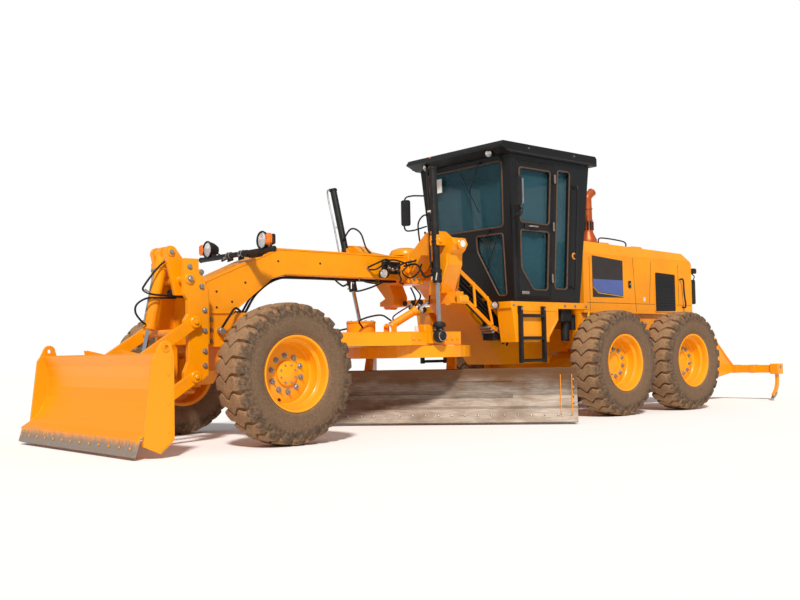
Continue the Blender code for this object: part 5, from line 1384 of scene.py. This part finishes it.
def hood_details():
    kit = Kit("hood_fittings")
    for side in (1, -1):
        y = side * HOOD_HALF
        out = side * 0.5035
        # two-tone film, blank
        kit.plate([(-5.42, 2.12), (-6.1, 2.075), (-6.1, 1.56), (-5.42, 1.555)], y, out, BROWN, "Y", 0.001)
        kit.plate([(-5.43, 1.8), (-5.43, 1.705), (-5.54, 1.625), (-6.09, 1.585), (-6.09, 1.8)], out,
                  out + side * 0.002, BLUE, "Y", 0.0005)
        kit.tube([(-5.425, out, 1.695), (-5.54, out, 1.613), (-6.095, out, 1.573)], 0.005, YELLOW, 6)
        # panel seams
        for line in ([(-5.36, 2.1), (-5.36, 1.37)], [(-6.34, 2.13), (-6.4, 1.37)],
                     [(-5.3, 1.48), (-7.78, 1.48)], [(-6.78, 2.1), (-6.72, 1.49)],
                     [(-7.46, 2.08), (-7.46, 1.49)]):
            kit.tube([(x, side * 0.5, z) for x, z in line], 0.003, BROWN, 6)
        # louvre bay: a flat black sheet as painted shade of the recess, with slats over it
        bay = [(-6.86, 1.95), (-7.38, 1.93), (-7.38, 1.38), (-6.86, 1.37)]
        kit.plate(rounded(bay, 0.03), y, side * 0.5015, BLACK, "Y", 0.0005)
        for k in range(11):
            z = 1.41 + 0.047 * k
            kit.block((-7.36, side * 0.499, z), (-6.88, side * 0.512, z + 0.012), SATIN, 0.003)
        kit.tube([(x, side * 0.503, z) for x, z in rounded(bay, 0.03)], 0.008, ORANGE, 6, True)
        # latches, hinge, handle
        kit.block((-6.28, y, 1.7), (-6.22, side * 0.516, 1.8), SATIN, 0.008)
        kit.rod((-6.25, side * 0.514, 1.75), (-6.25, side * 0.522, 1.75), 0.014, ZINC)
        kit.hose([(-7.5, side * 0.5, 1.86), (-7.5, side * 0.56, 1.85), (-7.52, side * 0.56, 1.65),
                  (-7.55, side * 0.56, 1.46), (-7.55, side * 0.5, 1.45)], 0.012, SATIN)
        # tail lamp on its bracket
        kit.block((-7.9, side * 0.42, 1.96), (-7.82, side * 0.54, 2.04), SATIN, 0.01)
        kit.block((-7.925, side * 0.435, 1.97), (-7.9, side * 0.485, 2.03), RED, 0.008)
        kit.block((-7.925, side * 0.49, 1.97), (-7.9, side * 0.53, 2.03), AMBER, 0.008)
        kit.block((-7.9, side * 0.36, 1.5), (-7.82, side * 0.52, 1.87), SATIN, 0.015)
        kit.hose([(-7.86, side * 0.48, 1.96), (-7.88, side * 0.51, 1.92), (-7.86, side * 0.5, 1.86)],
                 0.008, RUBBER)
        # rail on the hood's shoulder
        kit.hose([(-5.8, side * 0.33, hood_top(-5.8)), (-5.81, side * 0.33, 2.385),
                  (-5.95, side * 0.33, 2.4), (-6.3, side * 0.33, 2.385), (-6.42, side * 0.33, 2.36),
                  (-6.43, side * 0.33, hood_top(-6.43))], 0.01, SATIN)
        kit.tube([(-5.26, side * 0.497, 2.143), (-7.68, side * 0.497, 2.143)], 0.004, ORANGE, 6)
        kit.block((-5.28, side * 0.3, 2.33), (-5.42, side * 0.36, 2.4), SATIN, 0.01)
        kit.block((-6.58, side * 0.499, 1.515), (-6.62, side * 0.503, 1.575), WHITE, 0.001)
    kit.block((-6.36, -0.11, hood_top(-6.3) - 0.01), (-6.16, 0.11, 2.38), ORANGE, 0.02)
    kit.block((-7.0, -0.22, hood_top(-7.0) - 0.01), (-6.75, 0.22, 2.345), ORANGE, 0.02)
    # rear grille
    kit.plate(rounded([(-0.33, 1.46), (0.33, 1.46), (0.33, 1.98), (-0.33, 1.98)], 0.04), -7.825, -7.82,
              BLACK, "X", 0.001)
    for k in range(12):
        kit.block((-7.835, -0.31, 1.49 + 0.04 * k), (-7.82, 0.31, 1.503 + 0.04 * k), SATIN, 0.003)
    kit.tube([(-7.823, y, z) for y,
              z in rounded([(-0.33, 1.46), (0.33, 1.46), (0.33, 1.98), (-0.33, 1.98)], 0.04)], 0.01,
             ORANGE, 6, True)
    for y, z in ((-0.44, 1.4), (0.44, 1.4), (-0.44, 2.05), (0.44, 2.05)):
        kit.bolt((-7.82, y, z), (-1, 0, 0), 0.03)
    kit.make("rear_frame")


def exhaust():
    kit = Kit("exhaust_pipe")
    x, y = -5.68, 0.25
    profile = [(0.135, -0.005), (0.135, 0.012), (0.118, 0.02), (0.115, 0.05), (0.072, 0.14), (0.067, 0.16),
               (0.066, 0.3), (0.06, 0.34), (0.057, 0.62)]
    kit.lathe(profile, (x, y, 2.322), (0, 0, 1), HEAT, 40)
    kit.tube(curve([(x, y, 2.93), (x, y, 2.955), (x - 0.03, y, 2.99), (x - 0.105, y, 3.045)], 6), 0.057,
             HEAT, 32)
    kit.ring((x - 0.105, y, 3.045), (-0.105, 0, 0.08), 0.055, 0.006, HEAT, 32)
    # black disc in the pipe's mouth: soot, and painted shade of the open bore
    kit.rod((x - 0.103, y, 3.043), (x - 0.108, y, 3.047), 0.05, SATIN, 24)
    for z in (2.48, 2.64, 2.8):
        kit.ring((x, y, z), (0, 0, 1), 0.063, 0.007, HEAT, 32)
    for k in range(10):
        a = 2 * math.pi * k / 10
        kit.block((x + 0.068 * math.cos(a) - 0.012, y + 0.068 * math.sin(a) - 0.012, 2.5),
                  (x + 0.068 * math.cos(a) + 0.012, y + 0.068 * math.sin(a) + 0.012, 2.62), SATIN, 0.006)
    for k in range(8):
        a = 2 * math.pi * k / 8
        kit.bolt((x + 0.122 * math.cos(a), y + 0.122 * math.sin(a), 2.332), (0, 0, 1), 0.02)
    made = kit.make("rear_frame")
    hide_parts("exhaust_stack")


def rear_details():
    kit = Kit("rear_frame_fittings")
    for side in (1, -1):
        y = side * 0.44
        bolts_on(kit, [(x, y, 1.2) for x in (-5.28, -5.5, -5.75, -6.0, -6.3, -6.7, -7.1, -7.5, -7.8)],
                 (0, side, 0), 0.036)
        kit.tube([(-5.22, side * 0.441, 1.335), (-7.88, side * 0.441, 1.335)], 0.006, ORANGE, 6)
        for x in (-7.95, -8.25):
            kit.rod((x, side * 0.15, 0.98 if x > -8 else 0.5), (x, side * 0.218, 0.98 if x > -8 else 0.5),
                    0.035, ORANGE, 20)
        # brake line and a step by the tandem
        kit.hose([(-5.25, side * 0.46, 1.05), (-5.6, side * 0.5, 1.0), (-5.85, side * 0.56, 0.92),
                  (-5.95, side * 0.58, 0.86)], 0.012, RUBBER)
        # tandem case: covers and their bolts
        for x in (-5.08, -6.62):
            for k in range(12):
                a = 2 * math.pi * (k + 0.5) / 12
                spot = Vector((x + 0.125 * math.cos(a), side * TANDEM_FACE, 0.673 + 0.125 * math.sin(a)))
                kit.rivet(spot, (0, side, 0), 0.012, ZINC)
        kit.lathe([(0.115, 0), (0.115, 0.014), (0.1, 0.02), (0, 0.02)], (-5.85, side * TANDEM_FACE, 0.673),
                  (0, side, 0), ORANGE, 28)
        for k in range(8):
            a = 2 * math.pi * k / 8
            kit.bolt((-5.85 + 0.095 * math.cos(a), side * 0.82, 0.673 + 0.095 * math.sin(a)), (0, side, 0),
                     0.024)
        kit.block((-6.1, side * 0.62, 0.845), (-5.6, side * 0.78, 0.862), ORANGE, 0.006)
        # tail ladder
        kit.hose([(-7.91, side * 0.26, 1.3), (-7.99, side * 0.26, 1.28), (-7.99, side * 0.26, 1.12),
                  (-7.91, side * 0.26, 1.1)], 0.012, SATIN)
    kit.make("rear_frame")

    teeth = Kit("ripper_fittings")
    for side in (1, -1):
        y = side * 0.985
        # shank held in its pocket, with a worn point
        teeth.rod((-9.36, side * 0.905, 0.52), (-9.36, side * 1.062, 0.52), 0.02, ZINC, 16)
        teeth.ring((-9.36, side * 1.055, 0.52), (0, 1, 0), 0.022, 0.004, ZINC, 20, 6)
        tip = [(-9.3, 0.085), (-9.205, 0.018), (-9.2, 0.03), (-9.27, 0.12), (-9.325, 0.13)]
        teeth.plate(tip, y - 0.03, y + 0.03, STEEL, "Y", 0.006)
        teeth.plate([(-8.37, 0.6), (-8.78, 0.985), (-8.83, 0.93), (-9.33, 0.55), (-9.33, 0.5),
                     (-8.85, 0.9)], side * 0.262, side * 0.272, ORANGE, "Y", 0.003)
        for x, z in ((-8.35, 0.5), (-8.8, 0.95)):
            teeth.rod((x, side * 0.262, z), (x, side * 0.288, z), 0.034, ORANGE, 24)
            teeth.bolt((x, side * 0.288, z), (0, side, 0), 0.032)
    teeth.rod((-8.8, -0.225, 0.95), (-8.8, 0.225, 0.95), 0.028, ZINC, 20)
    for y in (-0.6, -0.3, 0.3, 0.6):
        teeth.block((-9.43, y - 0.05, 0.425), (-9.29, y + 0.05, 0.555), ORANGE, 0.008)
    teeth.block((-9.421, -0.85, 0.44), (-9.424, 0.85, 0.54), ORANGE, 0.001)
    teeth.make("ripper")


def details():
    headlights()
    nose()
    front_blade_mount()
    front_blade()
    yoke()
    lift_cylinders()
    beam_hoses()
    hose_tray()
    drawbar_details()
    moldboard_details()
    cab_trim()
    cab_doors()
    cab_inside()
    deck()
    hood_details()
    exhaust()
    rear_details()


# ---------------------------------------------------------------- camera and light
CAMERA_AT = Vector((5.42776, 8.90318, 0.84819))
YAW, PITCH, ROLL = 0.850136631, -0.048285288, -0.018678041
FOCAL_PX = 998.922534
CENTRE_DROP_PX = 4.6195
PHOTO_WIDTH = 800


def camera():
    look = Vector((-math.cos(YAW) * math.cos(PITCH), -math.sin(YAW) * math.cos(PITCH), -math.sin(PITCH)))
    right = look.cross(Vector((0, 0, 1))).normalized()
    up = right.cross(look)
    c, s = math.cos(ROLL), math.sin(ROLL)
    turned_right = right * c + up * s
    turned_up = up * c - right * s
    data = bpy.data.cameras.new("camera")
    data.sensor_width = 36
    data.lens = 36 * FOCAL_PX / PHOTO_WIDTH
    data.shift_y = CENTRE_DROP_PX / PHOTO_WIDTH
    data.clip_end = 200
    made = bpy.data.objects.new("camera", data)
    bpy.context.scene.collection.objects.link(made)
    turn = Matrix((turned_right, turned_up, -look)).transposed()
    made.matrix_world = Matrix.Translation(CAMERA_AT + AXLE) @ turn.to_4x4()
    bpy.context.scene.camera = made


def area(name, at, target, size, power, colour=(1, 1, 1)):
    data = bpy.data.lights.new(name, "AREA")
    data.shape = "RECTANGLE"
    data.size, data.size_y = size
    data.energy = power
    data.color = colour
    made = bpy.data.objects.new(name, data)
    bpy.context.scene.collection.objects.link(made)
    made.location = Vector(at)
    made.rotation_euler = (Vector(target) - Vector(at)).to_track_quat("-Z", "Y").to_euler()


def studio():
    world = bpy.data.worlds.new("world")
    bpy.context.scene.world = world
    world.use_nodes = True
    sky = world.node_tree.nodes["Background"]
    sky.inputs[0].default_value = (0.94, 0.97, 1.0, 1.0)
    sky.inputs[1].default_value = 0.36
    white = world.node_tree.nodes.new("ShaderNodeBackground")
    white.inputs[0].default_value = (1.0, 1.0, 1.0, 1.0)
    white.inputs[1].default_value = 1.0
    share = world.node_tree.nodes.new("ShaderNodeMixShader")
    seen = world.node_tree.nodes.new("ShaderNodeLightPath")
    for one, two in ((seen.outputs["Is Camera Ray"], share.inputs[0]), (sky.outputs[0], share.inputs[1]),
                     (white.outputs[0], share.inputs[2]),
                     (share.outputs[0], world.node_tree.nodes["World Output"].inputs[0])):
        world.node_tree.links.new(one, two)
    sun = bpy.data.lights.new("key", "SUN")
    sun.energy = 3.5
    sun.angle = math.radians(6)
    sun.color = (1.0, 0.96, 0.9)
    key = bpy.data.objects.new("key", sun)
    bpy.context.scene.collection.objects.link(key)
    key.rotation_euler = Vector((-0.52, -0.62, -0.72)).to_track_quat("-Z", "Y").to_euler()
    bm = bmesh.new()
    bmesh.ops.create_circle(bm, cap_ends=True, radius=60, segments=64)
    mesh = bpy.data.meshes.new("floor")
    bm.to_mesh(mesh)
    bm.free()
    floor = bpy.data.objects.new("floor", mesh)
    floor.location = (0, 0, -0.001)
    bpy.context.scene.collection.objects.link(floor)
    n = Nodes("floor", Roughness=0.9, Specular_IOR_Level=0.1)
    n.colour(n.mix(n.noise(0.4, 2.0), (0.99, 0.99, 0.99), (0.97, 0.97, 0.97)))
    mesh.materials.append(n.made)
    bpy.context.scene.view_settings.view_transform = "Standard"


cad_looks()
wheels()
details()
camera()
studio()
